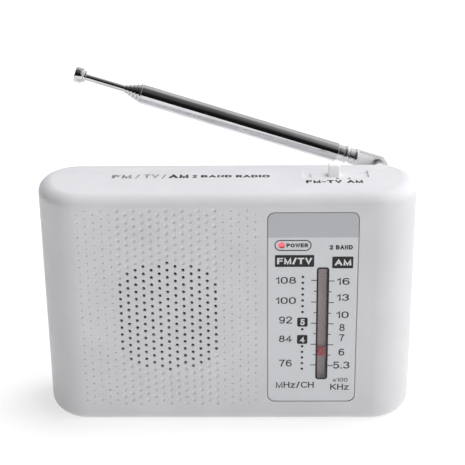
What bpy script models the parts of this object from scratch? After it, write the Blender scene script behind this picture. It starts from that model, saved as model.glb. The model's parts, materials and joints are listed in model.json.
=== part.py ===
"""Small tabletop FM/AM radio: two-shell case, dial with a rack-driven pointer, telescopic antenna.

Run with: blender --background --python part.py
Constants and local meshes are in millimetres, and MM turns them into Blender's metres. +X is the
radio's right as seen from the front, -Y is the front, +Z is up, and the origin is the middle of the
bottom face.
"""

import math

import bmesh
import bpy
from mathutils import Matrix, Vector

MM = 0.001
GAP = 0.3
RUNNING_GAP = 0.15

# Case: flat front and back, elliptical ends that are widest at WIDEST_Y
CASE_WIDTH = 115.0
CASE_HEIGHT = 75.0
FRONT_Y = -15.0
REAR_Y = 15.0
WIDEST_Y = 3.0
FRONT_CORNER = 13.5
REAR_CORNER = 11.7
TOP_FILLET = 3.8
TOP_END_INSET = 4.6
BOTTOM_FILLET = 2.2
WALL = 2.0
SEAM_Y = 6.0
INNER_FRONT_Y = FRONT_Y + WALL
INNER_TOP = CASE_HEIGHT - WALL

# Grille: a diamond lattice over the left of the front, with the middle of it open
GRILLE_PITCH = 2.39
GRILLE_X = -17.9
GRILLE_Z = 35.9
OPEN_HOLE_D = 0.95
OPEN_HALF_HEIGHTS = (15, 14, 14, 14, 13, 12, 10)
GRILLE_WALL = 1.0
GRILLE_POCKET_R = 18.6

# Dial plate, its pointer slot and the lamp behind it
PLATE_LEFT = 12.0
PLATE_RIGHT = 39.15
PLATE_BOTTOM = 6.5
PLATE_TOP = 69.9
PLATE_CORNER = 2.3
PLATE_THICK = 0.5
PLATE_RECESS = 0.8
SLOT_X = 28.65
SLOT_WIDTH = 3.5
SLOT_BOTTOM = 14.5
SLOT_TOP = 52.1
SLOT_CORNER = 0.5
WINDOW_THICK = 0.4
CHANNEL_RIGHT = 30.65
CHANNEL_FLOOR_Y = -13.2
CHANNEL_BACK_Y = -12.3
SLIT_WIDTH = 0.85
LAMP_X = 16.3
LAMP_Z = 59.4
LAMP_D = 3.0
LAMP_WINDOW_D = 2.1

# Tuning drive: the gear on the tuning shaft lifts the pointer's rack
GEAR_MODULE = 1.0
GEAR_TEETH = 18
GEAR_R = GEAR_MODULE * GEAR_TEETH / 2
GEAR_ADDENDUM = 0.8
GEAR_DEDENDUM = 1.2
BACKLASH = 0.3
PRESSURE_ANGLE = math.radians(20)
RACK_LINE_X = 34.2
TUNING_X = RACK_LINE_X + GEAR_R
TUNING_Z = 36.0
DRIVE_Y0 = -5.2
DRIVE_Y1 = -2.2
POINTER_Z = 23.7
POINTER_HEIGHT = 2.9
RACK_TEETH_BELOW = 8
RACK_TEETH_ABOVE = 3
SHAFT_R = 1.5

# Thumbwheels stand out of the right end, in the rear half
WHEEL_EDGE_X = 57.1
WHEEL_Y0 = 7.6
WHEEL_Y1 = 10.6
TUNING_WHEEL_R = WHEEL_EDGE_X - TUNING_X
VOLUME_WHEEL_R = 9.0
VOLUME_X = WHEEL_EDGE_X - VOLUME_WHEEL_R
VOLUME_Z = 60.2

# Circuit board, upright behind the pointer
BOARD_Y0 = -0.9
BOARD_Y1 = 0.7
PARTS_Y = BOARD_Y1 + GAP
BOARD_LEFT = -40.0
BOARD_RIGHT = 53.0
BOARD_SCREWS = ((-36.5, 56.0), (20.0, 29.0))
CASE_SCREWS = ((-44.0, 66.0), (16.0, 69.0), (45.0, 9.5))

# Band switch in the top face
BAND_X = 32.4
BAND_Y = 3.35
BAND_TRAVEL = 3.3
TROUGH_LEFT = 23.0
TROUGH_RIGHT = 42.8
TROUGH_FLOOR = CASE_HEIGHT - 0.7

# Speaker behind the grille
SPEAKER_R = 20.0
MAGNET_R = 9.5

# Two AA cells in a box moulded into the rear shell, behind a door
CELL_R = 7.1
CELL_LENGTH = 50.5
CELL_Y = 6.2
CELL_ZS = (11.05, 25.85)
BAY_LEFT = -46.7
BAY_RIGHT = 11.7
BAY_BOTTOM = 3.6
BAY_TOP = 33.4
BAY_FRONT_Y = -1.2
BAY_WALL = 1.2
DOOR_THICK = 1.4

# Antenna: turns about Y at its knuckle and draws out in sections
PIVOT_X = 47.2
PIVOT_Y = 18.4
PIVOT_Z = 72.6
ANTENNA_RISE = math.radians(17.8)
TUBE_START = 13.8
TUBE_END = 78.2
TUBE_STEP = 1.15
TUBE_WALL = 0.25
TUBE_RADII = (3.0, 2.6, 2.2, 1.8, 1.4)
PLUG_END = 20.0
ROD_START = 33.0
ROD_R = 1.0
ROD_OUT = 12.4
TIP_LENGTH = 3.5
TIP_R = 2.35

WHITE = (0.80, 0.80, 0.82)


def material(name, colour, roughness=0.45, metallic=0.0):
    """A plain Principled material."""
    made = bpy.data.materials.new(name)
    made.use_nodes = True
    shader = made.node_tree.nodes["Principled BSDF"]
    shader.inputs["Base Color"].default_value = (*colour, 1.0)
    shader.inputs["Roughness"].default_value = roughness
    shader.inputs["Metallic"].default_value = metallic
    return made


def finish(bm, name, finish_material=None, at=(0.0, 0.0, 0.0), parent=None):
    """Turn a bmesh in millimetres into an object placed at a point in millimetres."""
    bmesh.ops.recalc_face_normals(bm, faces=bm.faces)
    bm.transform(Matrix.Scale(MM, 4))
    mesh = bpy.data.meshes.new(name)
    bm.to_mesh(mesh)
    bm.free()
    mesh.shade_smooth()
    mesh.set_sharp_from_angle(angle=math.radians(35))
    obj = bpy.data.objects.new(name, mesh)
    bpy.context.scene.collection.objects.link(obj)
    obj.location = Vector(at) * MM
    obj.parent = parent
    if finish_material:
        mesh.materials.append(finish_material)
    return obj


def boolean(obj, other, operation):
    """Combine a shape with another, which then stays as a hidden guide."""
    modifier = obj.modifiers.new(f"{operation.lower()}_{other.name}", "BOOLEAN")
    modifier.operation = operation
    modifier.object = other
    modifier.solver = "EXACT"
    other.hide_render = True
    other.display_type = "WIRE"


def add_box(bm, low, high):
    """Add a box between two corners."""
    size = Vector(high) - Vector(low)
    middle = (Vector(high) + Vector(low)) / 2
    bmesh.ops.create_cube(bm, size=1.0, matrix=Matrix.Translation(middle) @ Matrix.Diagonal((*size, 1.0)))


def add_loft(bm, rings):
    """Join rings of equal length into a closed skin with flat ends."""
    loops = [[bm.verts.new(point) for point in ring] for ring in rings]
    count = len(loops[0])
    for lower, upper in zip(loops, loops[1:]):
        for i in range(count):
            j = (i + 1) % count
            bm.faces.new((lower[i], lower[j], upper[j], upper[i]))
    bm.faces.new(loops[0])
    bm.faces.new(loops[-1])


def on_axis(axis, radius, angle, along):
    """A point at an angle round one of the three axes."""
    side = radius * math.cos(angle)
    rise = radius * math.sin(angle)
    return {"X": (along, side, rise), "Y": (side, along, rise), "Z": (side, rise, along)}[axis]


def add_turned(bm, profile, axis="Y", segments=24, ring=False, centre=(0.0, 0.0, 0.0)):
    """Turn a profile of (radius, distance along the axis); ring closes it into a hollow ring."""
    loops = []
    for radius, along in profile:
        angles = [0.0] if radius == 0 else [math.tau * i / segments for i in range(segments)]
        points = [Vector(on_axis(axis, radius, angle, along)) + Vector(centre) for angle in angles]
        loops.append([bm.verts.new(point) for point in points])
    pairs = list(zip(loops, loops[1:]))
    if ring:
        pairs.append((loops[-1], loops[0]))
    for first, second in pairs:
        for i in range(segments):
            j = (i + 1) % segments
            corners = [first[i % len(first)], first[j % len(first)]]
            corners += [second[j % len(second)], second[i % len(second)]]
            bm.faces.new(list(dict.fromkeys(corners)))
    if not ring:
        for loop in (loops[0], loops[-1]):
            if len(loop) > 1:
                bm.faces.new(loop)


def add_disc(bm, radius, y0, y1, x=0.0, z=0.0, segments=24):
    """Add a solid disc with its axis along Y."""
    add_turned(bm, ((radius, y0), (radius, y1)), segments=segments, centre=(x, 0.0, z))


def add_prism(bm, outline, y0, y1):
    """Add an outline in X and Z, thick from y0 to y1."""
    add_loft(bm, [[(x, y, z) for x, z in outline] for y in (y0, y1)])


def add_tube(bm, path, radius, sides=6):
    """Add a round wire along a path of points."""
    rings = []
    for i, point in enumerate(path):
        ahead = Vector(path[min(i + 1, len(path) - 1)]) - Vector(path[max(i - 1, 0)])
        across = ahead.orthogonal() if i == 0 else (across - across.project(ahead))
        across.normalize()
        up = ahead.normalized().cross(across)
        angles = [math.tau * k / sides for k in range(sides)]
        rings.append([Vector(point) + radius * (math.cos(a) * across + math.sin(a) * up) for a in angles])
    add_loft(bm, rings)


def turned(name, profile, finish_material, at=(0.0, 0.0, 0.0), parent=None, **options):
    """One turned object."""
    bm = bmesh.new()
    add_turned(bm, profile, **options)
    return finish(bm, name, finish_material, at, parent)


def boxed(name, low, high, finish_material, parent=None, at=(0.0, 0.0, 0.0), bevel=0.0):
    """One box object, with its edges rounded if bevel is given."""
    bm = bmesh.new()
    add_box(bm, low, high)
    if bevel:
        bmesh.ops.bevel(bm, geom=bm.edges, offset=bevel, segments=2, profile=0.5, affect="EDGES")
    return finish(bm, name, finish_material, at, parent)


def rounded_rectangle(left, right, bottom, top, radius, steps=4):
    """Outline of a rectangle with round corners, in X and Z."""
    centres = (
        (right - radius, bottom + radius, -math.pi / 2),
        (right - radius, top - radius, 0.0),
        (left + radius, top - radius, math.pi / 2),
        (left + radius, bottom + radius, math.pi),
    )
    outline = []
    for x, z, start in centres:
        for i in range(steps + 1):
            angle = start + math.pi / 2 * i / steps
            outline.append((x + radius * math.cos(angle), z + radius * math.sin(angle)))
    return outline


def case_ring(inset_x, inset_y, z, steps=7):
    """The case's plan at a height, drawn in from its widest outline."""
    half = CASE_WIDTH / 2
    corners = (
        (1, FRONT_CORNER, WIDEST_Y - FRONT_Y, -math.pi / 2),
        (1, REAR_CORNER, REAR_Y - WIDEST_Y, 0.0),
        (-1, REAR_CORNER, REAR_Y - WIDEST_Y, math.pi / 2),
        (-1, FRONT_CORNER, WIDEST_Y - FRONT_Y, math.pi),
    )
    ring = []
    for side, run, depth, start in corners:
        first = 1 if abs(math.cos(start)) > 0.5 else 0
        for i in range(first, steps + 1):
            angle = start + math.pi / 2 * i / steps
            x = side * (half - run) + (run - inset_x) * math.cos(angle)
            y = WIDEST_Y + (depth - inset_y) * math.sin(angle)
            ring.append((x, y, z))
    return ring


def case_rings(shrink):
    """Rings of the case's outer form, or of its hollow when shrunk by the wall."""
    rings = []
    bottom = BOTTOM_FILLET if not shrink else 0.8
    for i in range(4):
        turn = math.pi / 2 * i / 3
        inset = bottom * (1 - math.sin(turn)) + shrink
        rings.append(case_ring(inset, inset, shrink + bottom * (1 - math.cos(turn))))
    top = TOP_FILLET if not shrink else TOP_FILLET - 1.6
    end = TOP_END_INSET if not shrink else TOP_END_INSET - 1.6
    for i in range(5):
        turn = math.pi / 2 * i / 4
        inset_x = end * (1 - math.cos(turn)) + shrink
        inset_y = top * (1 - math.cos(turn)) + shrink
        rings.append(case_ring(inset_x, inset_y, CASE_HEIGHT - shrink - top * (1 - math.sin(turn))))
    return rings


def case_form(name, shrink, finish_material=None):
    """The closed outer form of the case, or the form of its hollow."""
    bm = bmesh.new()
    add_loft(bm, case_rings(shrink))
    return finish(bm, name, finish_material)


def half_space(name, y0, y1):
    """A block that keeps the part of the case between two depths."""
    bm = bmesh.new()
    add_box(bm, (-70.0, y0, -5.0), (70.0, y1, CASE_HEIGHT + 5.0))
    return finish(bm, name)


def open_holes():
    """Places of the grille's open holes, in X and Z."""
    half_pitch = GRILLE_PITCH / 2
    last = len(OPEN_HALF_HEIGHTS) - 1
    places = []
    for column in range(-last, last + 1):
        reach = OPEN_HALF_HEIGHTS[abs(column)]
        for row in range(-reach, reach + 1):
            if (row + column) % 2 == 1:
                places.append((GRILLE_X + column * GRILLE_PITCH, GRILLE_Z + row * half_pitch))
    return places


def slot_outline(inset):
    """Rounded outline of the pointer slot, brought in all round by the inset."""
    half = SLOT_WIDTH / 2 - inset
    return rounded_rectangle(
        SLOT_X - half, SLOT_X + half, SLOT_BOTTOM + inset, SLOT_TOP - inset, SLOT_CORNER, 2
    )


def front_shell(white):
    """Front half of the case, with posts behind it and every opening cut in it."""
    shell = case_form("front_shell", 0.0, white)
    boolean(shell, case_form("front_hollow", WALL), "DIFFERENCE")

    posts = bmesh.new()
    for x, z in CASE_SCREWS:
        add_disc(posts, 3.0, FRONT_Y + 1.0, SEAM_Y - GAP, x, z, 12)
    for x, z in BOARD_SCREWS:
        add_disc(posts, 2.4, FRONT_Y + 1.0, BOARD_Y0 - GAP, x, z, 12)
    low = (SLOT_X - 2.8, FRONT_Y + 1.0, SLOT_BOTTOM - 1.0)
    add_box(posts, low, (CHANNEL_RIGHT + 1.0, CHANNEL_BACK_Y, SLOT_TOP + 1.0))
    seat = SPEAKER_R + GAP
    rib = ((seat, FRONT_Y + 1.0), (seat + 1.2, FRONT_Y + 1.0), (seat + 1.2, -11.3), (seat, -11.3))
    add_turned(posts, rib, segments=32, ring=True, centre=(GRILLE_X, 0.0, GRILLE_Z))
    boolean(shell, finish(posts, "front_posts"), "UNION")
    boolean(shell, half_space("front_half", FRONT_Y - 5.0, SEAM_Y - GAP / 2), "INTERSECT")

    cuts = bmesh.new()
    recess = rounded_rectangle(PLATE_LEFT, PLATE_RIGHT, PLATE_BOTTOM, PLATE_TOP, PLATE_CORNER)
    add_prism(cuts, recess, FRONT_Y - 1.0, FRONT_Y + PLATE_RECESS)
    boolean(shell, finish(cuts, "plate_recess"), "DIFFERENCE")

    pocket = bmesh.new()
    thin = FRONT_Y + GRILLE_WALL
    add_disc(pocket, GRILLE_POCKET_R, thin, INNER_FRONT_Y + 0.2, GRILLE_X, GRILLE_Z)
    boolean(shell, finish(pocket, "grille_pocket"), "DIFFERENCE")

    cuts = bmesh.new()
    left = SLOT_X - SLOT_WIDTH / 2
    channel = rounded_rectangle(left, CHANNEL_RIGHT, SLOT_BOTTOM, SLOT_TOP, SLOT_CORNER, 2)
    add_prism(cuts, channel, FRONT_Y - 1.0, CHANNEL_FLOOR_Y)
    add_disc(cuts, LAMP_D / 2 + RUNNING_GAP, FRONT_Y - 1.0, INNER_FRONT_Y + 1.0, LAMP_X, LAMP_Z, 16)
    for x, z in open_holes():
        add_disc(cuts, OPEN_HOLE_D / 2, FRONT_Y - 1.0, INNER_FRONT_Y + 0.6, x, z, 6)
    for x, z in CASE_SCREWS:
        add_disc(cuts, 1.2, -6.0, SEAM_Y + 1.0, x, z, 8)
    for x, z in BOARD_SCREWS:
        add_disc(cuts, 1.0, -9.0, 1.0, x, z, 8)
    boolean(shell, finish(cuts, "front_holes"), "DIFFERENCE")

    slit = bmesh.new()
    low = (CHANNEL_RIGHT - SLIT_WIDTH, FRONT_Y, SLOT_BOTTOM + 0.5)
    add_box(slit, low, (CHANNEL_RIGHT, INNER_FRONT_Y + 2.0, SLOT_TOP - 0.5))
    boolean(shell, finish(slit, "pointer_slit"), "DIFFERENCE")

    cuts = bmesh.new()
    add_box(cuts, (TROUGH_LEFT, BAND_Y - 2.45, TROUGH_FLOOR), (TROUGH_RIGHT, SEAM_Y + 1.0, CASE_HEIGHT + 1.0))
    boolean(shell, finish(cuts, "switch_trough"), "DIFFERENCE")

    cuts = bmesh.new()
    right = BAND_X + BAND_TRAVEL + 1.9
    add_box(cuts, (BAND_X - 1.9, BAND_Y - 1.45, INNER_TOP - 1.0), (right, BAND_Y + 1.45, CASE_HEIGHT))
    boolean(shell, finish(cuts, "switch_slot"), "DIFFERENCE")


def rear_shell(white):
    """Rear half of the case, with the battery box and the antenna's seat."""
    shell = case_form("rear_shell", 0.0, white)
    boolean(shell, case_form("rear_hollow", WALL), "DIFFERENCE")
    boolean(shell, half_space("rear_half", SEAM_Y + GAP / 2, REAR_Y + 5.0), "INTERSECT")

    block = bmesh.new()
    low = (BAY_LEFT - BAY_WALL, BAY_FRONT_Y - BAY_WALL, BAY_BOTTOM - BAY_WALL)
    add_box(block, low, (BAY_RIGHT + BAY_WALL, REAR_Y - 1.0, BAY_TOP + BAY_WALL))
    for x, z in CASE_SCREWS:
        add_disc(block, 3.75, SEAM_Y + GAP / 2, REAR_Y - 1.0, x, z, 16)
    add_box(block, (PIVOT_X - 4.0, 8.0, 69.8), (PIVOT_X + 4.0, REAR_Y - 1.2, 73.6))
    boolean(shell, finish(block, "rear_posts"), "UNION")

    pad = bmesh.new()
    add_disc(pad, 1.8, 10.0, REAR_Y + 0.1, PIVOT_X, PIVOT_Z, 20)
    boolean(shell, finish(pad, "antenna_pad"), "UNION")

    cuts = bmesh.new()
    add_box(cuts, (BAY_LEFT, BAY_FRONT_Y, BAY_BOTTOM), (BAY_RIGHT, REAR_Y + 1.0, BAY_TOP))
    for x, z in CASE_SCREWS:
        well = ((1.3, SEAM_Y - 1.0), (1.3, 8.6), (2.6, 8.6), (2.6, REAR_Y + 1.0))
        add_turned(cuts, well, segments=16, centre=(x, 0.0, z))
    add_disc(cuts, 1.05, 8.8, REAR_Y + 2.0, PIVOT_X, PIVOT_Z, 10)
    for z, reach in ((TUNING_Z, 12.2), (VOLUME_Z, 9.0)):
        add_box(cuts, (50.2, WHEEL_Y0 - GAP, z - reach), (60.0, WHEEL_Y1 + GAP, z + reach))
    boolean(shell, finish(cuts, "rear_holes"), "DIFFERENCE")


def battery_door(white):
    """Door that tilts open about its lower outer edge."""
    height = BAY_TOP - BAY_BOTTOM - 2 * GAP
    bm = bmesh.new()
    add_box(bm, (BAY_LEFT + GAP, -DOOR_THICK, 0.0), (BAY_RIGHT - GAP, 0.0, height))
    door = finish(bm, "battery_door", white, at=(0.0, REAR_Y, BAY_BOTTOM + GAP))
    grips = bmesh.new()
    middle = (BAY_LEFT + BAY_RIGHT) / 2
    for i in range(4):
        z = height - 3.0 - 1.6 * i
        add_box(grips, (middle - 6.0, -0.5, z - 0.4), (middle + 6.0, 1.0, z + 0.4))
    boolean(door, finish(grips, "door_grips", at=(0.0, REAR_Y, BAY_BOTTOM + GAP)), "DIFFERENCE")


def dial_plate(silver):
    """Printed plate in the front recess, with the pointer slot and the lamp hole."""
    fit = RUNNING_GAP
    left = PLATE_LEFT + fit
    right = PLATE_RIGHT - fit
    outline = rounded_rectangle(left, right, PLATE_BOTTOM + fit, PLATE_TOP - fit, PLATE_CORNER)
    bm = bmesh.new()
    add_prism(bm, outline, FRONT_Y, FRONT_Y + PLATE_THICK)
    plate = finish(bm, "dial_plate", silver)
    cuts = bmesh.new()
    add_prism(cuts, slot_outline(0.1), FRONT_Y - 1.0, FRONT_Y + 1.0)
    add_disc(cuts, LAMP_WINDOW_D / 2, FRONT_Y - 1.0, FRONT_Y + 1.0, LAMP_X, LAMP_Z, 16)
    boolean(plate, finish(cuts, "plate_holes"), "DIFFERENCE")


def dial_window(smoke):
    """Tinted strip that closes the pointer slot, a little below the plate's face."""
    bm = bmesh.new()
    front = FRONT_Y + 0.05
    add_prism(bm, slot_outline(0.1 + RUNNING_GAP), front, front + WINDOW_THICK)
    finish(bm, "dial_window", smoke)


def gear_outline():
    """Involute outline of the drive gear round its own axis, with a tooth space facing -X."""
    base_r = GEAR_R * math.cos(PRESSURE_ANGLE)
    tip_r = GEAR_R + GEAR_ADDENDUM
    root_r = GEAR_R - GEAR_DEDENDUM

    def involute(radius):
        angle = math.acos(min(1.0, base_r / radius))
        return math.tan(angle) - angle

    half_tooth = (math.pi / 2 - BACKLASH / 2 / GEAR_MODULE) / GEAR_TEETH + involute(GEAR_R)
    radii = [base_r + (tip_r - base_r) * i / 3 for i in range(4)]
    outline = []
    for tooth in range(GEAR_TEETH):
        middle = math.pi + math.tau * (tooth + 0.5) / GEAR_TEETH
        flank = [(root_r, half_tooth)] + [(radius, half_tooth - involute(radius)) for radius in radii]
        for radius, spread in flank:
            outline.append((radius * math.cos(middle - spread), radius * math.sin(middle - spread)))
        for radius, spread in reversed(flank):
            outline.append((radius * math.cos(middle + spread), radius * math.sin(middle + spread)))
    return outline


def drive_gear(plastic, axle):
    """Gear at the front end of the tuning shaft."""
    bm = bmesh.new()
    add_prism(bm, gear_outline(), DRIVE_Y0, DRIVE_Y1)
    gear = finish(bm, "drive_gear", plastic, parent=axle)
    bore = bmesh.new()
    add_disc(bore, SHAFT_R + RUNNING_GAP, DRIVE_Y0 - 1.0, DRIVE_Y1 + 1.0, segments=16)
    boolean(gear, finish(bore, "gear_bore", parent=axle), "DIFFERENCE")


def rack_outline():
    """Toothed bar of the pointer, in X and in height above the gear's axis."""
    pitch = math.pi * GEAR_MODULE
    half_width = (pitch / 2 - BACKLASH / 2) / 2
    lean = math.tan(PRESSURE_ANGLE)
    root = RACK_LINE_X - GEAR_DEDENDUM
    tip = RACK_LINE_X + GEAR_ADDENDUM
    back = root - 1.8
    bottom = -RACK_TEETH_BELOW * pitch - pitch / 2
    top = RACK_TEETH_ABOVE * pitch + pitch / 2
    outline = [(back, bottom), (root, bottom)]
    for tooth in range(-RACK_TEETH_BELOW, RACK_TEETH_ABOVE + 1):
        middle = tooth * pitch
        at_root = half_width + GEAR_DEDENDUM * lean
        at_tip = half_width - GEAR_ADDENDUM * lean
        outline += [(root, middle - at_root), (tip, middle - at_tip)]
        outline += [(tip, middle + at_tip), (root, middle + at_root)]
    return outline + [(root, top), (back, top)]


def dial_pointer(red):
    """Rack with an arm and a thin web that carry the pointer's head in its channel."""
    bm = bmesh.new()
    above = TUNING_Z - POINTER_Z
    add_prism(bm, [(x, z + above) for x, z in rack_outline()], DRIVE_Y0, DRIVE_Y1)
    pointer = finish(bm, "dial_pointer", red, at=(0.0, 0.0, POINTER_Z))
    half = SLOT_WIDTH / 2 - 0.35
    arm = bmesh.new()
    low = (SLOT_X - half, DRIVE_Y0 + 0.2, -3.0)
    add_box(arm, low, (RACK_LINE_X - GEAR_DEDENDUM - 0.9, DRIVE_Y1 - 0.2, 3.0))
    boolean(pointer, finish(arm, "pointer_arm", at=(0.0, 0.0, POINTER_Z)), "UNION")
    reach = POINTER_HEIGHT / 2
    right = CHANNEL_RIGHT - 0.2
    head_y = FRONT_Y + 0.05 + WINDOW_THICK + GAP
    web = bmesh.new()
    add_box(web, (right - 0.45, head_y + 0.2, -reach), (right, DRIVE_Y0 + 1.2, reach))
    boolean(pointer, finish(web, "pointer_web", at=(0.0, 0.0, POINTER_Z)), "UNION")
    head = bmesh.new()
    add_box(head, (SLOT_X - half, head_y, -reach), (right, head_y + 0.7, reach))
    boolean(pointer, finish(head, "pointer_head", at=(0.0, 0.0, POINTER_Z)), "UNION")


def thumbwheel(name, radius, plastic, axle, teeth):
    """Wheel with a grooved rim, a hub and a bore for its shaft."""
    bm = bmesh.new()
    outline = []
    for i in range(teeth * 2):
        angle = math.pi * i / teeth
        rim = radius if i % 2 == 0 else radius - 0.45
        outline.append((rim * math.cos(angle), rim * math.sin(angle)))
    add_prism(bm, outline, WHEEL_Y0, WHEEL_Y1)
    wheel = finish(bm, name, plastic, parent=axle)
    bore = bmesh.new()
    fit = SHAFT_R + RUNNING_GAP
    add_turned(bore, ((fit, WHEEL_Y0 - 1.0), (fit, WHEEL_Y1 + 1.0)), segments=16)
    boolean(wheel, finish(bore, f"{name}_bore", parent=axle), "DIFFERENCE")
    dish = bmesh.new()
    floor = WHEEL_Y1 - 0.8
    rim = radius - 2.2
    rings = ((3.4, floor), (rim, floor), (rim, WHEEL_Y1 + 1.0), (3.4, WHEEL_Y1 + 1.0))
    add_turned(dish, rings, segments=20, ring=True)
    boolean(wheel, finish(dish, f"{name}_dish", parent=axle), "DIFFERENCE")


def wheel_shaft(name, front_y, steel, axle):
    """Shaft with a blind screw hole in its rear end."""
    rear_y = WHEEL_Y1 - GAP
    hole_y = rear_y - 3.2
    outside = ((0.0, front_y), (SHAFT_R, front_y), (SHAFT_R, rear_y))
    profile = outside + ((0.8, rear_y), (0.8, hole_y), (0.0, hole_y))
    turned(name, profile, steel, parent=axle, segments=16)


def wheel_screw(name, steel, axle):
    """Screw that holds a thumbwheel on its shaft."""
    head = WHEEL_Y1 + 0.2
    profile = (
        (0.0, head - 3.0), (0.6, head - 3.0), (0.6, head), (1.9, head),
        (1.9, head + 0.5), (1.4, head + 0.9), (0.0, head + 0.9),
    )
    screw = turned(name, profile, steel, parent=axle, segments=16)
    slot = bmesh.new()
    add_box(slot, (-3.0, head + 0.4, -0.3), (3.0, head + 2.0, 0.3))
    boolean(screw, finish(slot, f"{name}_slot", parent=axle), "DIFFERENCE")


def axle_empty(name, x, y, z, turn=0.0):
    """An empty on a joint's axis, which its moving pieces hang from."""
    empty = bpy.data.objects.new(name, None)
    bpy.context.scene.collection.objects.link(empty)
    empty.location = Vector((x, y, z)) * MM
    empty.rotation_euler = (0.0, turn, 0.0)
    return empty


def tuning(black, plastic, steel):
    """Tuning capacitor and everything that turns with its shaft."""
    axle = axle_empty("tuning_axle", TUNING_X, 0.0, TUNING_Z)
    drive_gear(plastic, axle)
    wheel_shaft("tuning_shaft", DRIVE_Y0 - 0.4, steel, axle)
    thumbwheel("tuning_wheel", TUNING_WHEEL_R, black, axle, 32)
    wheel_screw("tuning_wheel_screw", steel, axle)
    at = (TUNING_X, 0.0, TUNING_Z)
    body = boxed("tuning_capacitor", (-8.0, PARTS_Y, -8.0), (8.0, 7.0, 8.0), plastic, at=at, bevel=0.8)
    bore = bmesh.new()
    add_disc(bore, SHAFT_R + RUNNING_GAP, 0.0, 8.0, segments=16)
    boolean(body, finish(bore, "capacitor_bore", at=at), "DIFFERENCE")


def volume(black, steel):
    """Volume control: a switched potentiometer with a thumbwheel."""
    axle = axle_empty("volume_axle", VOLUME_X, 0.0, VOLUME_Z)
    wheel_shaft("volume_shaft", 2.0, steel, axle)
    thumbwheel("volume_wheel", VOLUME_WHEEL_R, black, axle, 22)
    wheel_screw("volume_wheel_screw", steel, axle)
    fit = SHAFT_R + RUNNING_GAP
    profile = ((0.0, PARTS_Y), (6.5, PARTS_Y), (6.5, 5.0), (fit, 5.0), (fit, 1.6), (0.0, 1.6))
    turned("volume_potentiometer", profile, steel, at=(VOLUME_X, 0.0, VOLUME_Z))


def band_switch(black, white):
    """Slide switch on the board and the finger knob above the case."""
    body = boxed("band_switch_body", (27.0, PARTS_Y, 63.0), (40.5, 5.7, 70.8), black)
    well = bmesh.new()
    add_box(well, (BAND_X - 1.9, BAND_Y - 1.35, 68.0), (BAND_X + BAND_TRAVEL + 1.9, BAND_Y + 1.35, 72.0))
    boolean(body, finish(well, "switch_well"), "DIFFERENCE")
    at = (BAND_X, BAND_Y, 0.0)
    low = (-1.8, -1.6, TROUGH_FLOOR + GAP)
    knob = boxed("band_switch_knob", low, (1.8, 1.6, 78.5), white, at=at, bevel=0.35)
    stem = bmesh.new()
    add_box(stem, (-1.5, -1.05, 68.6), (1.5, 1.05, 75.0))
    boolean(knob, finish(stem, "knob_stem", at=at), "UNION")


def circuit_board(green):
    """Upright board, stepped round the battery box and the case screws."""
    outline = (
        (BOARD_LEFT, 36.5), (14.0, 36.5), (14.0, 24.0), (BOARD_RIGHT, 24.0),
        (BOARD_RIGHT, 70.5), (24.0, 70.5), (24.0, 64.5), (BOARD_LEFT, 64.5),
    )
    bm = bmesh.new()
    add_prism(bm, outline, BOARD_Y0, BOARD_Y1)
    board = finish(bm, "circuit_board", green)
    holes = bmesh.new()
    for x, z in BOARD_SCREWS:
        add_disc(holes, 1.3, BOARD_Y0 - 1.0, BOARD_Y1 + 1.0, x, z, 12)
    add_disc(holes, SHAFT_R + 0.5, BOARD_Y0 - 1.0, BOARD_Y1 + 1.0, TUNING_X, TUNING_Z, 16)
    boolean(board, finish(holes, "board_holes"), "DIFFERENCE")


def radio_chip(black):
    """Chip with eight legs along each side."""
    chip = boxed("radio_chip", (-8.5, 1.4, -3.4), (8.5, 3.6, 3.4), black, at=(-8.0, 0.0, 52.0), bevel=0.3)
    legs = bmesh.new()
    for i in range(8):
        x = -7.7 + 2.2 * i
        add_box(legs, (x - 0.35, PARTS_Y, -4.6), (x + 0.35, 1.7, 4.6))
    boolean(chip, finish(legs, "chip_legs", at=(-8.0, 0.0, 52.0)), "UNION")


def screened_can(name, x, z, steel):
    """Screened coil with its tuning core down a hole in the top."""
    can = boxed(name, (-3.5, PARTS_Y, -3.5), (3.5, 8.6, 3.5), steel, at=(x, 0.0, z), bevel=0.4)
    hole = bmesh.new()
    add_disc(hole, 1.7, 7.6, 10.0, segments=12)
    boolean(can, finish(hole, f"{name}_hole", at=(x, 0.0, z)), "DIFFERENCE")


def air_coil(name, x, z, turns, copper):
    """Coil of enamelled wire that stands free of the board."""
    radius = 2.2
    steps = 8
    count = turns * steps
    path = []
    for i in range(count + 1):
        angle = math.tau * i / steps
        along = -2.4 + 4.8 * i / count
        path.append((along, 4.2 + radius * math.cos(angle), radius * math.sin(angle)))
    bm = bmesh.new()
    add_tube(bm, path, 0.35, 5)
    finish(bm, name, copper, at=(x, 0.0, z))


def can_capacitor(name, x, z, blue):
    """Upright electrolytic capacitor with a groove near its foot."""
    top = PARTS_Y + 8.0
    profile = ((0.0, PARTS_Y), (3.1, PARTS_Y), (3.1, 2.0), (2.8, 2.3), (3.1, 2.6), (3.1, top), (0.0, top))
    turned(name, profile, blue, at=(x, 0.0, z), segments=20)


def board_parts(black, steel, copper, blue, orange):
    """Everything soldered to the board apart from the controls."""
    radio_chip(black)
    screened_can("if_can_1", -26.0, 56.0, steel)
    screened_can("if_can_2", -26.0, 46.5, steel)
    screened_can("oscillator_can", 8.5, 57.0, steel)
    boxed("ceramic_filter", (-3.5, PARTS_Y, -1.4), (3.5, 6.0, 1.4), orange, at=(-12.0, 0.0, 43.0), bevel=0.5)
    air_coil("air_coil_1", 0.5, 42.5, 4, copper)
    air_coil("air_coil_2", 9.0, 42.5, 5, copper)
    can_capacitor("output_capacitor", 27.0, 42.0, blue)
    can_capacitor("supply_capacitor", 27.0, 52.5, blue)


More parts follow.
